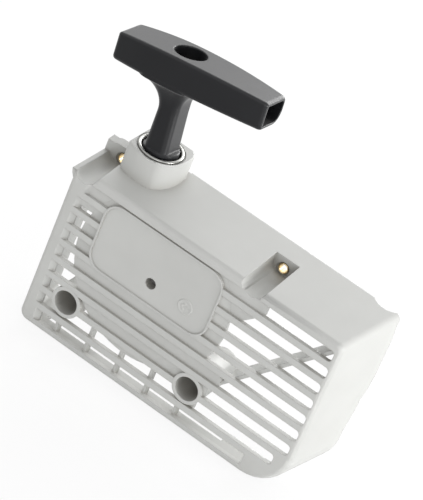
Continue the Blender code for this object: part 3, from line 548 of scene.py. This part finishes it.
def sweep(name: str, points: Ring, radius: float, sides: int = 20,
          closed: bool = False) -> bpy.types.Object:
    """Run a round rope along points, with its length and turn kept as UV.

    Args:
        name: Name of the piece.
        points: Points of the rope's middle line.
        radius: Radius of the rope.
        sides: Sides of the rope.
        closed: Whether the end meets the start.

    Returns:
        The new object.
    """
    work = bmesh.new()
    layer = work.loops.layers.uv.new("rope")
    count = len(points)
    tangents = []
    for i in range(count):
        before = points[(i - 1) % count] if closed or i else points[0]
        after = points[(i + 1) % count] if closed or i < count - 1 else points[-1]
        tangents.append((after - before).normalized())
    normal = tangents[0].orthogonal().normalized()
    rows, lengths, run = [], [], 0.0
    for i, point in enumerate(points):
        if i:
            run += (point - points[i - 1]).length
            normal = (normal - tangents[i] * normal.dot(tangents[i])).normalized()
        binormal = tangents[i].cross(normal)
        ring = []
        for k in range(sides):
            angle = 2.0 * math.pi * k / sides
            out = normal * math.cos(angle) + binormal * math.sin(angle)
            ring.append(work.verts.new(point + out * radius))
        rows.append(ring)
        lengths.append(run)
    spans = [(i, i + 1) for i in range(count - 1)]
    if closed:
        spans.append((count - 1, 0))
        lengths.append(run + (points[0] - points[-1]).length)
    for near, far in spans:
        end = lengths[far] if far else lengths[-1]
        for k in range(sides):
            m = (k + 1) % sides
            face = work.faces.new((rows[near][k], rows[near][m], rows[far][m], rows[far][k]))
            corners = ((lengths[near], k), (lengths[near], k + 1), (end, k + 1), (end, k))
            for loop, (along, turn) in zip(face.loops, corners):
                loop[layer].uv = (along, turn / sides)
    if not closed:
        work.faces.new(list(reversed(rows[0])))
        work.faces.new(rows[-1])
    return piece_from(work, name, ROPE_EDGE)


def rounded(left: float, right: float, bottom: float, top: float, radii: tuple, steps: int) -> list:
    """Outline of a rectangle with round corners.

    Args:
        left: Left side.
        right: Right side.
        bottom: Bottom side.
        top: Top side.
        radii: Radii of the lower left, lower right, upper right and upper left corners.
        steps: Steps in each corner.

    Returns:
        Points of the outline, as pairs.
    """
    lower_left, lower_right, upper_right, upper_left = radii
    corners = (
        (left + lower_left, bottom + lower_left, lower_left, 180.0),
        (right - lower_right, bottom + lower_right, lower_right, 270.0),
        (right - upper_right, top - upper_right, upper_right, 0.0),
        (left + upper_left, top - upper_left, upper_left, 90.0),
    )
    points = []
    for x, z, radius, start in corners:
        for i in range(steps + 1):
            angle = math.radians(start + 90.0 * i / steps)
            points.append((x + radius * math.cos(angle), z + radius * math.sin(angle)))
    return points


def finished(piece: bpy.types.Object, material: bpy.types.Material, slot: Slot, body: Body,
             *nodes: str) -> None:
    """Dress a piece, seat it on its body and let it stand for its nodes.

    Args:
        piece: The piece.
        material: Its finish.
        slot: Its material slot; not used.
        body: The body that it rides on.
        nodes: CAD nodes that it stands for.
    """
    piece.data.materials.clear()
    piece.data.materials.append(material)
    flats = piece.modifiers.new("flat_faces", "WEIGHTED_NORMAL")
    flats.keep_sharp = True
    flats.weight = FLAT_LEAD
    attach(piece, body.value)
    if nodes:
        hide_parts(*nodes)
    LOG.info("%s: %d faces, %s", piece.name, len(piece.data.polygons), material.name)


def refined(node: str, name: str) -> bpy.types.Object:
    """Copy a CAD node's form into a welded piece with smooth shading.

    Args:
        node: Name of the CAD node.
        name: Name of the new piece.

    Returns:
        The new object.
    """
    work = bmesh.new()
    work.from_mesh(frame["nodes"][node].data)
    bmesh.ops.remove_doubles(work, verts=work.verts, dist=NODE_WELD)
    bmesh.ops.dissolve_limit(work, angle_limit=math.radians(FLAT_TURN), verts=work.verts,
                             edges=work.edges)
    return piece_from(work, name)


def joint_named(name: str) -> dict:
    """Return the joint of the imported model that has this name."""
    return next(joint for joint in frame["joints"] if joint["name"] == name)


def pull_axis() -> Vector:
    """Return the direction in which the grip leaves the cover."""
    return Vector(joint_named("grip_pull")["axis"]).normalized()


@dataclass
class PullLine:
    """Straight line of the rope, from the mouth of the bush through the grip."""

    mouth: Vector
    up: Vector

    def stand(self) -> Matrix:
        """Work out the frame of the line.

        Returns:
            The frame, with Z along the pull and X along the grip bar.
        """
        along = Vector((1.0, 0.0, 0.0))
        along = (along - self.up * along.dot(self.up)).normalized()
        across = self.up.cross(along)
        turn = Matrix((along, across, self.up)).transposed().to_4x4()
        return Matrix.Translation(self.mouth) @ turn

    def at(self, along: float, across: float, height: float) -> Vector:
        """Return the point at a place in the frame of the line."""
        return self.stand() @ Vector((along, across, height))


@dataclass
class Housing:
    """The moulded grey cover with its louvre grille, and the blank round mark on its plate field."""

    field_depth: float = 0.0010
    mark_x: float = 0.0038
    mark_z: float = 0.0778
    mark_radius: float = 0.0056
    mark_height: float = 0.00060
    mark_seat: float = 0.00002
    mark_pole: float = 0.05
    mark_edge: float = 60.0
    mark_rings: int = 16
    mark_steps: int = 64
    rim_place: float = 0.82
    rim_width: float = 0.12
    rim_rise: float = 0.8
    smear_place: float = 0.35
    smear_width: float = 0.22

    def finish(self) -> bpy.types.Material:
        """Return the grey moulding."""
        # The grey moulding is painted darker in its recesses as shade and paler on its edges as a highlight
        return MouldedFinish("grey_housing_moulding", (0.545, 0.548, 0.530), 0.46, painted_edge_highlight=1.10,
                             edge_radius=0.0008, painted_recess_shade=(0.24, 0.222, 0.19)).make()

    def mark_face(self) -> float:
        """Return the depth of the plate field's face."""
        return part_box("starter_cover")[0].y + self.field_depth

    def swell(self, share: float, angle: float) -> float:
        """Work out how high the worn mark stands.

        Args:
            share: Distance from the mark's middle, as a share of its radius.
            angle: Angle round the middle, in radians.

        Returns:
            The height over the plate field.
        """
        rim = math.exp(-((share - self.rim_place) / self.rim_width) ** 2)
        # Two waves round the middle that turn with the distance look smeared
        smear = 0.5 + 0.5 * math.sin(2.0 * angle + 5.0 * share) * math.cos(3.0 * angle - 7.0 * share)
        middle = math.exp(-((share - self.smear_place) / self.smear_width) ** 2)
        return self.mark_height * (self.rim_rise * rim + smear * middle)

    def mark(self) -> bpy.types.Object:
        """Make the worn, blank round mark as a low relief.

        Returns:
            The new object.
        """
        work = bmesh.new()
        face = self.mark_face()
        rows = []
        for k in range(self.mark_rings + 1):
            share = (k + self.mark_pole) / (self.mark_rings + self.mark_pole)
            row = []
            for i in range(self.mark_steps):
                angle = 2.0 * math.pi * i / self.mark_steps
                rise = self.swell(share, angle) if k < self.mark_rings else -self.mark_height
                row.append(work.verts.new((self.mark_x + self.mark_radius * share * math.cos(angle),
                                           face - rise - self.mark_seat,
                                           self.mark_z + self.mark_radius * share * math.sin(angle))))
            rows.append(row)
        for near, far in zip(rows, rows[1:]):
            for i in range(self.mark_steps):
                j = (i + 1) % self.mark_steps
                work.faces.new((near[i], far[i], far[j], near[j]))
        work.faces.new(list(reversed(rows[0])))
        return piece_from(work, "moulding_mark", self.mark_edge)

    def build(self) -> None:
        """Make and dress the cover and its mark."""
        grey = self.finish()
        finished(refined("starter_cover", "housing"), grey, Slot.HOUSING, Body.COVER, "starter_cover")
        finished(self.mark(), grey, Slot.HOUSING, Body.COVER)


@dataclass
class TGrip:
    """Hollow T-shaped pull grip: a crowned bar on a stem that ends in a ball foot."""

    line: PullLine
    reach_left: float = 0.0431
    reach_right: float = 0.0619
    top: float = 0.0644
    height: float = 0.0207
    end_height: float = 0.0182
    end_drop: float = 0.0026
    half_depth: float = 0.0166
    end_half_depth: float = 0.0128
    end_edge: float = 0.0014
    end_roll: float = 0.0026
    wall: float = 0.0024
    radii: tuple = (0.0030, 0.0095, 0.0022, 0.0018)
    least_radius: float = 0.0008
    back_roll: float = 0.0045
    hollow_start: float = 0.0155
    hollow_over: float = 0.002
    well_radius: float = 0.0105
    well_depth: float = 0.0180
    well_edge: float = 0.0006
    well_over: float = 0.010
    neck: tuple = (0.0070, 0.0100)
    base: tuple = (0.0081, 0.0106)
    stem_sink: float = 0.0010
    corner: float = 0.0042
    corner_growth: float = 0.0110
    fillet_left: tuple = (0.0235, 0.0175)
    fillet_right: tuple = (0.0120, 0.0120)
    fillet_depth: float = 0.0070
    fillet_top: float = 0.0030
    fillet_limit: float = 0.998
    flush: float = 0.00008
    foot_radius: float = 0.0116
    foot_depth: float = 0.0050
    foot_crown: float = 0.0012
    rope_hole: float = 0.0025
    rope_hole_end: float = -0.015
    stations: int = 20
    short_stations: int = 8
    corner_steps: int = 10
    turn_steps: int = 72
    roll_angles: tuple = tuple(range(0, 91, 15))
    fillet_angles: tuple = tuple(range(6, 88, 6))
    foot_angles: tuple = tuple(range(6, -26, -4))

    def share(self, u: float) -> float:
        """Return how far the bar has tapered at a station along it, 0 to 1."""
        return (u / (self.reach_right if u > 0 else self.reach_left)) ** 2

    def half(self, u: float) -> float:
        """Return half the bar's depth at a station along it."""
        return self.half_depth + (self.end_half_depth - self.half_depth) * self.share(u)

    def section(self, u: float, inset: float) -> Ring:
        """Draw the bar's section.

        Args:
            u: Station along the bar.
            inset: How far the section is drawn in.

        Returns:
            Points of the section.
        """
        share = self.share(u)
        half = self.half(u) - inset
        crown = self.top - self.end_drop * share
        height = self.height + (self.end_height - self.height) * share
        radii = [max(radius - inset, self.least_radius) for radius in self.radii]
        if u > 0:
            radii[2] += (self.back_roll - self.radii[2]) * share
        outline = rounded(-half, half, crown - height + inset, crown - inset, radii, self.corner_steps)
        return [self.line.at(u, v, h) for v, h in outline]

    def bar(self) -> bpy.types.Object:
        """Make the crowned bar.

        Returns:
            The new object.
        """
        rings = []
        for side, reach in ((-1.0, self.reach_left), (1.0, self.reach_right)):
            inner = reach - self.end_roll
            half = [self.section(side * inner * i / self.stations, 0.0) for i in range(self.stations)]
            for degrees in self.roll_angles:
                angle = math.radians(degrees)
                half.append(self.section(side * (inner + self.end_roll * math.sin(angle)),
                                         self.end_edge * (1.0 - math.cos(angle))))
            rings = list(reversed(half)) if side < 0 else rings + half[1:]
        return skin("grip_moulding", rings)

    def fillet(self, h: float, width: float, height: float) -> float:
        """Work out how far a fillet under the bar reaches out.

        Args:
            h: Height on the pull line.
            width: Width of the whole fillet.
            height: Height of the whole fillet.

        Returns:
            The reach at that height.
        """
        floor = self.top - self.height
        share = min(max((h - floor + height) / height, 0.0), self.fillet_limit)
        return width * (1.0 - math.sqrt(1.0 - share * share))

    def stem(self) -> bpy.types.Object:
        """Make the stem with its fillets under the bar.

        Returns:
            The new object.
        """
        floor = self.top - self.height
        neck = floor - self.fillet_left[1]
        steps = self.short_stations
        heights = [-self.stem_sink] + [neck * i / steps for i in range(1, steps + 1)]
        heights += [neck + self.fillet_left[1] * math.sin(math.radians(a)) for a in self.fillet_angles]
        heights.append(floor + self.fillet_top)
        rings = []
        for h in heights:
            share = min(max(h, 0.0) / neck, 1.0)
            half_u = self.base[0] + (self.neck[0] - self.base[0]) * share
            half_v = self.base[1] + (self.neck[1] - self.base[1]) * share
            half_v += self.fillet(h, self.fillet_depth, self.fillet_left[1])
            corner = self.corner + self.fillet(h, self.corner_growth, self.fillet_left[1])
            outline = rounded(-half_u - self.fillet(h, *self.fillet_left),
                              half_u + self.fillet(h, *self.fillet_right),
                              -half_v, half_v, (corner,) * 4, self.corner_steps)
            limits = [self.half(u) - self.flush for u, _ in outline]
            rings.append([self.line.at(u, min(max(v, -limit), limit), h)
                          for (u, v), limit in zip(outline, limits)])
        return skin("grip_stem", rings)

    def foot(self) -> bpy.types.Object:
        """Make the ball foot that sits in the bush.

        Returns:
            The new object.
        """
        profile = [(0.0, self.foot_crown)]
        for degrees in self.foot_angles:
            angle = math.radians(degrees)
            profile.append((self.foot_radius * math.cos(angle), self.foot_radius * math.sin(angle)))
        profile.append((0.0, -self.foot_depth))
        return revolve("grip_foot", profile, self.line.stand(), self.turn_steps)

    def cavities(self) -> list[bpy.types.Object]:
        """Make the cutters of the end hollows and the knot's well.

        Returns:
            The cutters.
        """
        tools = []
        steps = self.short_stations
        for side, reach in ((-1.0, self.reach_left), (1.0, self.reach_right)):
            run = reach + self.hollow_over - self.hollow_start
            rings = [self.section(side * (self.hollow_start + run * i / steps), self.wall)
                     for i in range(steps + 1)]
            tools.append(skin("grip_hollow", rings))
        floor = self.top - self.well_depth
        edge, above = self.well_edge, self.top + self.well_over
        well = [(0.0, above), (self.well_radius + edge, above)]
        for degrees in self.roll_angles:
            angle = math.radians(degrees)
            well.append((self.well_radius + edge * (1.0 - math.sin(angle)),
                         self.top - edge * (1.0 - math.cos(angle))))
        well += [(self.well_radius, floor), (self.rope_hole, floor)]
        well += [(self.rope_hole, self.rope_hole_end), (0.0, self.rope_hole_end)]
        tools.append(revolve("knot_well", well, self.line.stand(), self.turn_steps))
        return tools

    def build(self) -> None:
        """Make and dress the grip."""
        grip = self.bar()
        carve(grip, [self.stem(), self.foot()], "UNION")
        carve(grip, self.cavities(), "DIFFERENCE")
        # The black grip's edges are painted lighter as a highlight
        black = MouldedFinish("grip_black_moulding", (0.0098, 0.0102, 0.0120), 0.36, grain_pitch=0.0009,
                              grain_depth=0.00002, flow=0.08, painted_edge_highlight=1.6, edge_radius=0.0011,
                              shine=0.42, bloom=0.20).make()
        finished(grip, black, Slot.GRIP, Body.GRIP, "grip")


@dataclass
class RopeBush:
    """Pressed bright funnel that the rope runs through, from its radii and heights over the collar."""

    line: PullLine
    profile: tuple = (
        (0.0148, -0.0006), (0.0148, 0.0003), (0.0146, 0.0007), (0.0142, 0.0010), (0.0137, 0.0011),
        (0.0132, 0.0009), (0.0128, 0.0005), (0.0125, -0.0002), (0.0122, -0.0013), (0.0116, -0.0035),
        (0.0106, -0.0060), (0.0089, -0.0083), (0.0066, -0.0101), (0.0057, -0.0112),
        (0.0057, -0.0126), (0.0065, -0.0126), (0.0065, -0.0115), (0.0072, -0.0108),
        (0.0096, -0.0088), (0.0115, -0.0062), (0.0125, -0.0037), (0.0131, -0.0012), (0.0133, -0.0006),
    )
    turn_steps: int = 128

    def build(self) -> None:
        """Make and dress the bush."""
        stand = Matrix.Translation(self.line.mouth)
        bush = revolve("bush_ring", list(self.profile), stand, self.turn_steps)
        # The bush's edges are painted brighter as a highlight
        bright = MetalFinish("bright_pressed_metal", (0.44, 0.44, 0.42), 0.27, painted_edge_highlight=1.12).make()
        finished(bush, bright, Slot.BRIGHT, Body.COVER, "rope_bush")


@dataclass
class StarterRope:
    """Braided rope: turns on the pulley, the straight run through the bush, and the knot in the grip."""

    line: PullLine
    radius: float = 0.0020
    colour: Colour = (0.62, 0.60, 0.55)
    knot_floor: float = 0.0467
    knot_span: float = 0.0039
    knot_mean: float = 0.62
    knot_wave: float = 0.30
    knot_rise: float = 0.0040
    knot_pinch: float = 0.95
    knot_steps: int = 120
    throat: float = -0.0126
    lead_over: float = 0.001
    lead_steps: int = 90
    groove_radius: float = 0.0230
    layer_rise: float = 0.0038
    outer_radius: float = 0.0310
    side_step: float = 0.0021
    turn_steps: int = 72
    cross_steps: int = 14
    turn_sides: int = 14

    def axle(self) -> Vector:
        """Find the pulley's centre.

        Returns:
            The point on the axle in the middle of the groove.
        """
        low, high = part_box("rope_coil")
        pivot = joint_named("rotor_turn")["pos_m"]
        return Vector((pivot[0], (low.y + high.y) / 2.0, pivot[2]))

    def lead(self) -> None:
        """Make the straight run, which stretches from the bush to the grip."""
        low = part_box("rope_lead")[0]
        bottom = (low.z - self.line.mouth.z) / self.line.up.z
        run = self.knot_floor + self.lead_over - bottom
        points = [self.line.at(0.0, 0.0, bottom + run * i / self.lead_steps)
                  for i in range(self.lead_steps + 1)]
        rope = sweep("rope_run", points, self.radius)
        finish = BraidFinish("braided_rope_run", self.colour, BraidAxis.PULL, tuple(self.line.up)).make()
        rope.data.materials.append(finish)
        self.line.at(0.0, 0.0, self.throat)
        self.line.at(0.0, 0.0, self.knot_floor)
        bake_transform(rope)
        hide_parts("rope_lead")
        LOG.info("%s: %d faces, stretches between bush and grip", rope.name, len(rope.data.polygons))

    def knot(self) -> None:
        """Make the overhand knot that sits in the grip's well."""
        points = []
        for i in range(self.knot_steps):
            a = 2.0 * math.pi * i / self.knot_steps
            spread = self.knot_span * (self.knot_mean + self.knot_wave * math.cos(3.0 * a))
            points.append(self.line.at(
                spread * math.cos(2.0 * a), spread * math.sin(2.0 * a),
                self.knot_floor + self.radius + self.knot_rise * (0.5 + 0.5 * math.sin(3.0 * a)),
            ))
        knot = sweep("rope_knot", points, self.radius * self.knot_pinch, closed=True)
        finish = BraidFinish("braided_rope_knot", self.colour, BraidAxis.WINDING).make()
        finished(knot, finish, Slot.ROPE, Body.GRIP, "grip_knot")

    def winding(self) -> None:
        """Make the turns of rope in the pulley's groove."""
        centre = self.axle()
        rings = [(self.groove_radius + self.layer_rise * layer, side * self.side_step)
                 for layer in range(2) for side in (-1.0, 1.0)]
        rings.append((self.outer_radius, 0.0))
        points = []
        for k, (radius, side) in enumerate(rings):
            last = k == len(rings) - 1
            target = rings[k] if last else rings[k + 1]
            # The last steps of each turn lead over to the next one
            for i in range(self.turn_steps):
                angle = 2.0 * math.pi * i / self.turn_steps
                share = 0.0 if last else max(0.0, 1.0 - (self.turn_steps - i) / self.cross_steps)
                share = share * share * (3.0 - 2.0 * share)
                reach = radius + (target[0] - radius) * share
                depth = side + (target[1] - side) * share
                points.append(centre + Vector((reach * math.cos(angle), depth, reach * math.sin(angle))))
        rope = sweep("rope_turns", points, self.radius, self.turn_sides)
        finish = BraidFinish("braided_rope_turns", self.colour, BraidAxis.WINDING).make()
        finished(rope, finish, Slot.ROPE, Body.ROTOR, "rope_coil")
        bead = refined("rotor_knot", "rope_end")
        finished(bead, finish, Slot.ROPE, Body.ROTOR, "rotor_knot")

    def build(self) -> None:
        """Make and dress the rope."""
        self.lead()
        self.knot()
        self.winding()


@dataclass
class ScrewSleeves:
    """Four yellow metal sleeves that the screws pass through."""

    edge: float = 0.0004
    wall: float = 0.0009
    turn_steps: int = 64

    def sleeve(self, place: str) -> bpy.types.Object:
        """Make one sleeve with chamfered rims.

        Args:
            place: Name of the screw point, such as upper_left.

        Returns:
            The new object.
        """
        low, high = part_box(place + "_sleeve")
        centre = (low + high) / 2.0
        outer = (high.x - low.x) / 2.0
        inner = outer - self.wall
        half = (high.y - low.y) / 2.0
        edge = self.edge
        profile = [
            (inner, -half + edge), (inner + edge, -half), (outer - edge, -half), (outer, -half + edge),
            (outer, half - edge), (outer - edge, half), (inner + edge, half), (inner, half - edge),
        ]
        stand = Matrix.Translation(centre) @ Matrix.Rotation(-math.pi / 2.0, 4, "X")
        return revolve(place + "_screw_sleeve", profile, stand, self.turn_steps)

    def build(self) -> None:
        """Make and dress the sleeves."""
        brass = MetalFinish("yellow_sleeve_metal", (0.83, 0.66, 0.38), 0.30).make()
        for place in ("upper_left", "upper_right", "lower_left", "lower_right"):
            finished(self.sleeve(place), brass, Slot.BRASS, Body.COVER, place + "_sleeve")


@dataclass
class StarterWorks:
    """Pulley, spring cup, pin and pawls on the engine side."""

    def build(self) -> None:
        """Dress the works, each from its own node."""
        # Edges of these finishes are painted lighter as a highlight
        black = MouldedFinish("starter_black_moulding", (0.045, 0.045, 0.048), 0.48, flow=0.10,
                              painted_edge_highlight=1.7, edge_radius=0.0004).make()
        steel = MetalFinish("ground_pin_steel", (0.56, 0.56, 0.57), 0.24).make()
        hard = MetalFinish("hardened_pawl_steel", (0.36, 0.35, 0.34), 0.36, stain=0.25).make()
        wire = MetalFinish("spring_wire_steel", (0.42, 0.43, 0.45), 0.28, stain=0.2).make()
        bronze = MetalFinish("sintered_bronze", (0.58, 0.42, 0.24), 0.42, stain=0.2).make()
        plan = (
            ("rope_rotor", "rope_pulley", black, Slot.INNER, Body.ROTOR),
            ("spring_cassette", "spring_cup", black, Slot.INNER, Body.COVER),
            ("rewind_spring", "rewind_strip", wire, Slot.SPRING, Body.COVER),
            ("rotor_bush", "pulley_bearing", bronze, Slot.BRONZE, Body.ROTOR),
            ("bearing_pin", "pulley_pin", steel, Slot.PIN, Body.COVER),
            ("thrust_washer", "pin_washer", steel, Slot.PIN, Body.COVER),
            ("e_clip", "pin_clip", steel, Slot.PIN, Body.COVER),
            ("pawl_spring", "pawl_wire_clip", wire, Slot.SPRING, Body.ROTOR),
            ("pawl_1", "first_pawl", hard, Slot.PAWL, Body.FIRST_PAWL),
            ("pawl_2", "second_pawl", hard, Slot.PAWL, Body.SECOND_PAWL),
        )
        for node, name, finish, slot, body in plan:
            finished(refined(node, name), finish, slot, body, node)


@dataclass(frozen=True)
class SoftLamp:
    """A soft rectangular lamp: where it hangs, the size of its face and its power in watts."""

    name: str
    place: tuple[float, float, float]
    size: tuple[float, float]
    energy: float


@dataclass
class Studio:
    """Pale floor, white surroundings and soft lamps."""

    floor_half: float = 12.0
    floor_drop: float = 0.0002
    floor_colour: tuple = (0.9, 0.9, 0.9, 1.0)
    floor_roughness: tuple = (0.8, 0.9)
    floor_grain: float = 0.004
    white: float = 1.0
    front_gloss: float = 0.40
    gloss_change: tuple = (-0.3, 0.4)
    world_gloss: float = 0.9
    ambient: float = 0.68
    shadow_share: float = 0.14
    lamps: tuple = (
        SoftLamp("right_lamp", (1.30, -0.10, 0.34), (0.65, 0.55), 9.6),
        SoftLamp("back_lamp", (-0.85, 1.70, 1.35), (2.6, 1.0), 18.0),
        SoftLamp("inner_lamp", (0.25, 1.30, 0.42), (1.2, 0.5), 14.0),
        SoftLamp("front_lamp", (1.0, -1.9, 0.6), (1.2, 1.0), 8.0),
    )

    def floor(self) -> None:
        """Make the pale floor, which keeps a soft shadow."""
        work = bmesh.new()
        bmesh.ops.create_grid(work, x_segments=1, y_segments=1, size=self.floor_half)
        floor = piece_from(work, "studio_floor")
        floor.location = (0.0, 0.0, CAD_BOX[0].z - self.floor_drop)
        sheet = FinishSheet("pale_floor")
        place = sheet.place()
        grain = sheet.noise(place, self.floor_grain, 2.0)
        sheet.feed("Base Color", self.floor_colour)
        sheet.feed("Roughness", sheet.span(grain, *self.floor_roughness))
        rays = sheet.add("ShaderNodeLightPath")
        glossy = rays.outputs["Is Glossy Ray"]
        depth = sheet.add("ShaderNodeSeparateXYZ", {0: place}).outputs["Y"]
        shown = sheet.span(depth, self.front_gloss, self.white, *self.gloss_change)
        drop = sheet.sums("MULTIPLY", glossy, sheet.sums("SUBTRACT", self.white, shown))
        level = sheet.sums("SUBTRACT", self.white, drop)
        glow = sheet.add("ShaderNodeEmission", {"Color": (1.0, 1.0, 1.0, 1.0), "Strength": level})
        seen = sheet.sums("MULTIPLY", rays.outputs["Is Camera Ray"], 1.0 - self.shadow_share)
        share = sheet.sums("MAXIMUM", seen, glossy)
        mix = sheet.add("ShaderNodeMixShader", {0: share, 1: sheet.shader.outputs[0], 2: glow.outputs[0]})
        output = sheet.nodes["Material Output"]
        sheet.links.new(mix.outputs[0], output.inputs["Surface"])
        floor.data.materials.append(sheet.material)

    def surroundings(self) -> None:
        """Make the world white to the camera and to reflections, and softer as a light."""
        world = bpy.data.worlds.new("studio_world")
        world.use_nodes = True
        nodes, links = world.node_tree.nodes, world.node_tree.links
        back = nodes["Background"]
        back.inputs["Color"].default_value = (1.0, 1.0, 1.0, 1.0)
        rays = nodes.new("ShaderNodeLightPath")
        seen = nodes.new("ShaderNodeMath")
        seen.operation = "MAXIMUM"
        links.new(rays.outputs["Is Camera Ray"], seen.inputs[0])
        links.new(rays.outputs["Is Transmission Ray"], seen.inputs[1])
        shown = nodes.new("ShaderNodeMath")
        shown.operation = "MAXIMUM"
        glossy = nodes.new("ShaderNodeMath")
        glossy.operation = "MULTIPLY"
        glossy.inputs[1].default_value = self.world_gloss
        links.new(rays.outputs["Is Glossy Ray"], glossy.inputs[0])
        links.new(seen.outputs[0], shown.inputs[0])
        links.new(glossy.outputs[0], shown.inputs[1])
        level = nodes.new("ShaderNodeMapRange")
        level.inputs["To Min"].default_value = self.ambient
        level.inputs["To Max"].default_value = self.white
        links.new(shown.outputs[0], level.inputs["Value"])
        links.new(level.outputs[0], back.inputs["Strength"])
        bpy.context.scene.world = world

    def hang(self, plan: SoftLamp) -> None:
        """Add one soft lamp aimed at the cover.

        Args:
            plan: The lamp.
        """
        data = bpy.data.lights.new(plan.name, "AREA")
        data.shape = "RECTANGLE"
        data.size, data.size_y = plan.size
        data.energy = plan.energy
        lamp = bpy.data.objects.new(plan.name, data)
        bpy.context.scene.collection.objects.link(lamp)
        lamp.location = plan.place
        aim = (CAD_BOX[0] + CAD_BOX[1]) / 2.0 - Vector(plan.place)
        lamp.rotation_euler = aim.to_track_quat("-Z", "Y").to_euler()

    def build(self) -> None:
        """Make the studio."""
        self.floor()
        self.surroundings()
        for plan in self.lamps:
            self.hang(plan)
        LOG.info("studio: floor, world and %d lamps", len(self.lamps))


@dataclass
class PhotoCamera:
    """Camera at the photograph's viewing angle: a long lens, from the right and above, rolled."""

    target: Vector
    azimuth: float = 19.82
    elevation: float = 33.46
    roll: float = 23.26
    distance: float = 1.9865
    lens: float = 238.0
    sensor: float = 36.0

    def build(self) -> None:
        """Make the camera and set it."""
        side, rise = math.radians(self.azimuth), math.radians(self.elevation)
        back = Vector((math.sin(side) * math.cos(rise), -math.cos(side) * math.cos(rise), math.sin(rise)))
        data = bpy.data.cameras.new("photo_camera")
        data.lens = self.lens
        data.sensor_width = self.sensor
        camera = bpy.data.objects.new("photo_camera", data)
        bpy.context.scene.collection.objects.link(camera)
        turn = (-back).to_track_quat("-Z", "Y").to_matrix().to_4x4()
        roll = Matrix.Rotation(math.radians(self.roll), 4, "Z")
        camera.matrix_world = Matrix.Translation(self.target + back * self.distance) @ turn @ roll
        bpy.context.scene.camera = camera
        LOG.info("camera: azimuth %.1f, elevation %.1f, roll %.1f", self.azimuth, self.elevation, self.roll)


def main() -> None:
    """Build the camera, the pieces and the studio in order."""
    logging.basicConfig(level=logging.INFO, format="%(message)s")
    bpy.context.scene.view_settings.view_transform = "Standard"
    line = PullLine(mouth=Vector(ROPE_MOUTH), up=pull_axis())
    PhotoCamera(target=Vector(VIEW_CENTRE)).build()
    Housing().build()
    RopeBush(line).build()
    ScrewSleeves().build()
    StarterWorks().build()
    StarterRope(line).build()
    TGrip(line).build()
    Studio().build()


if __name__ == "__main__":
    main()
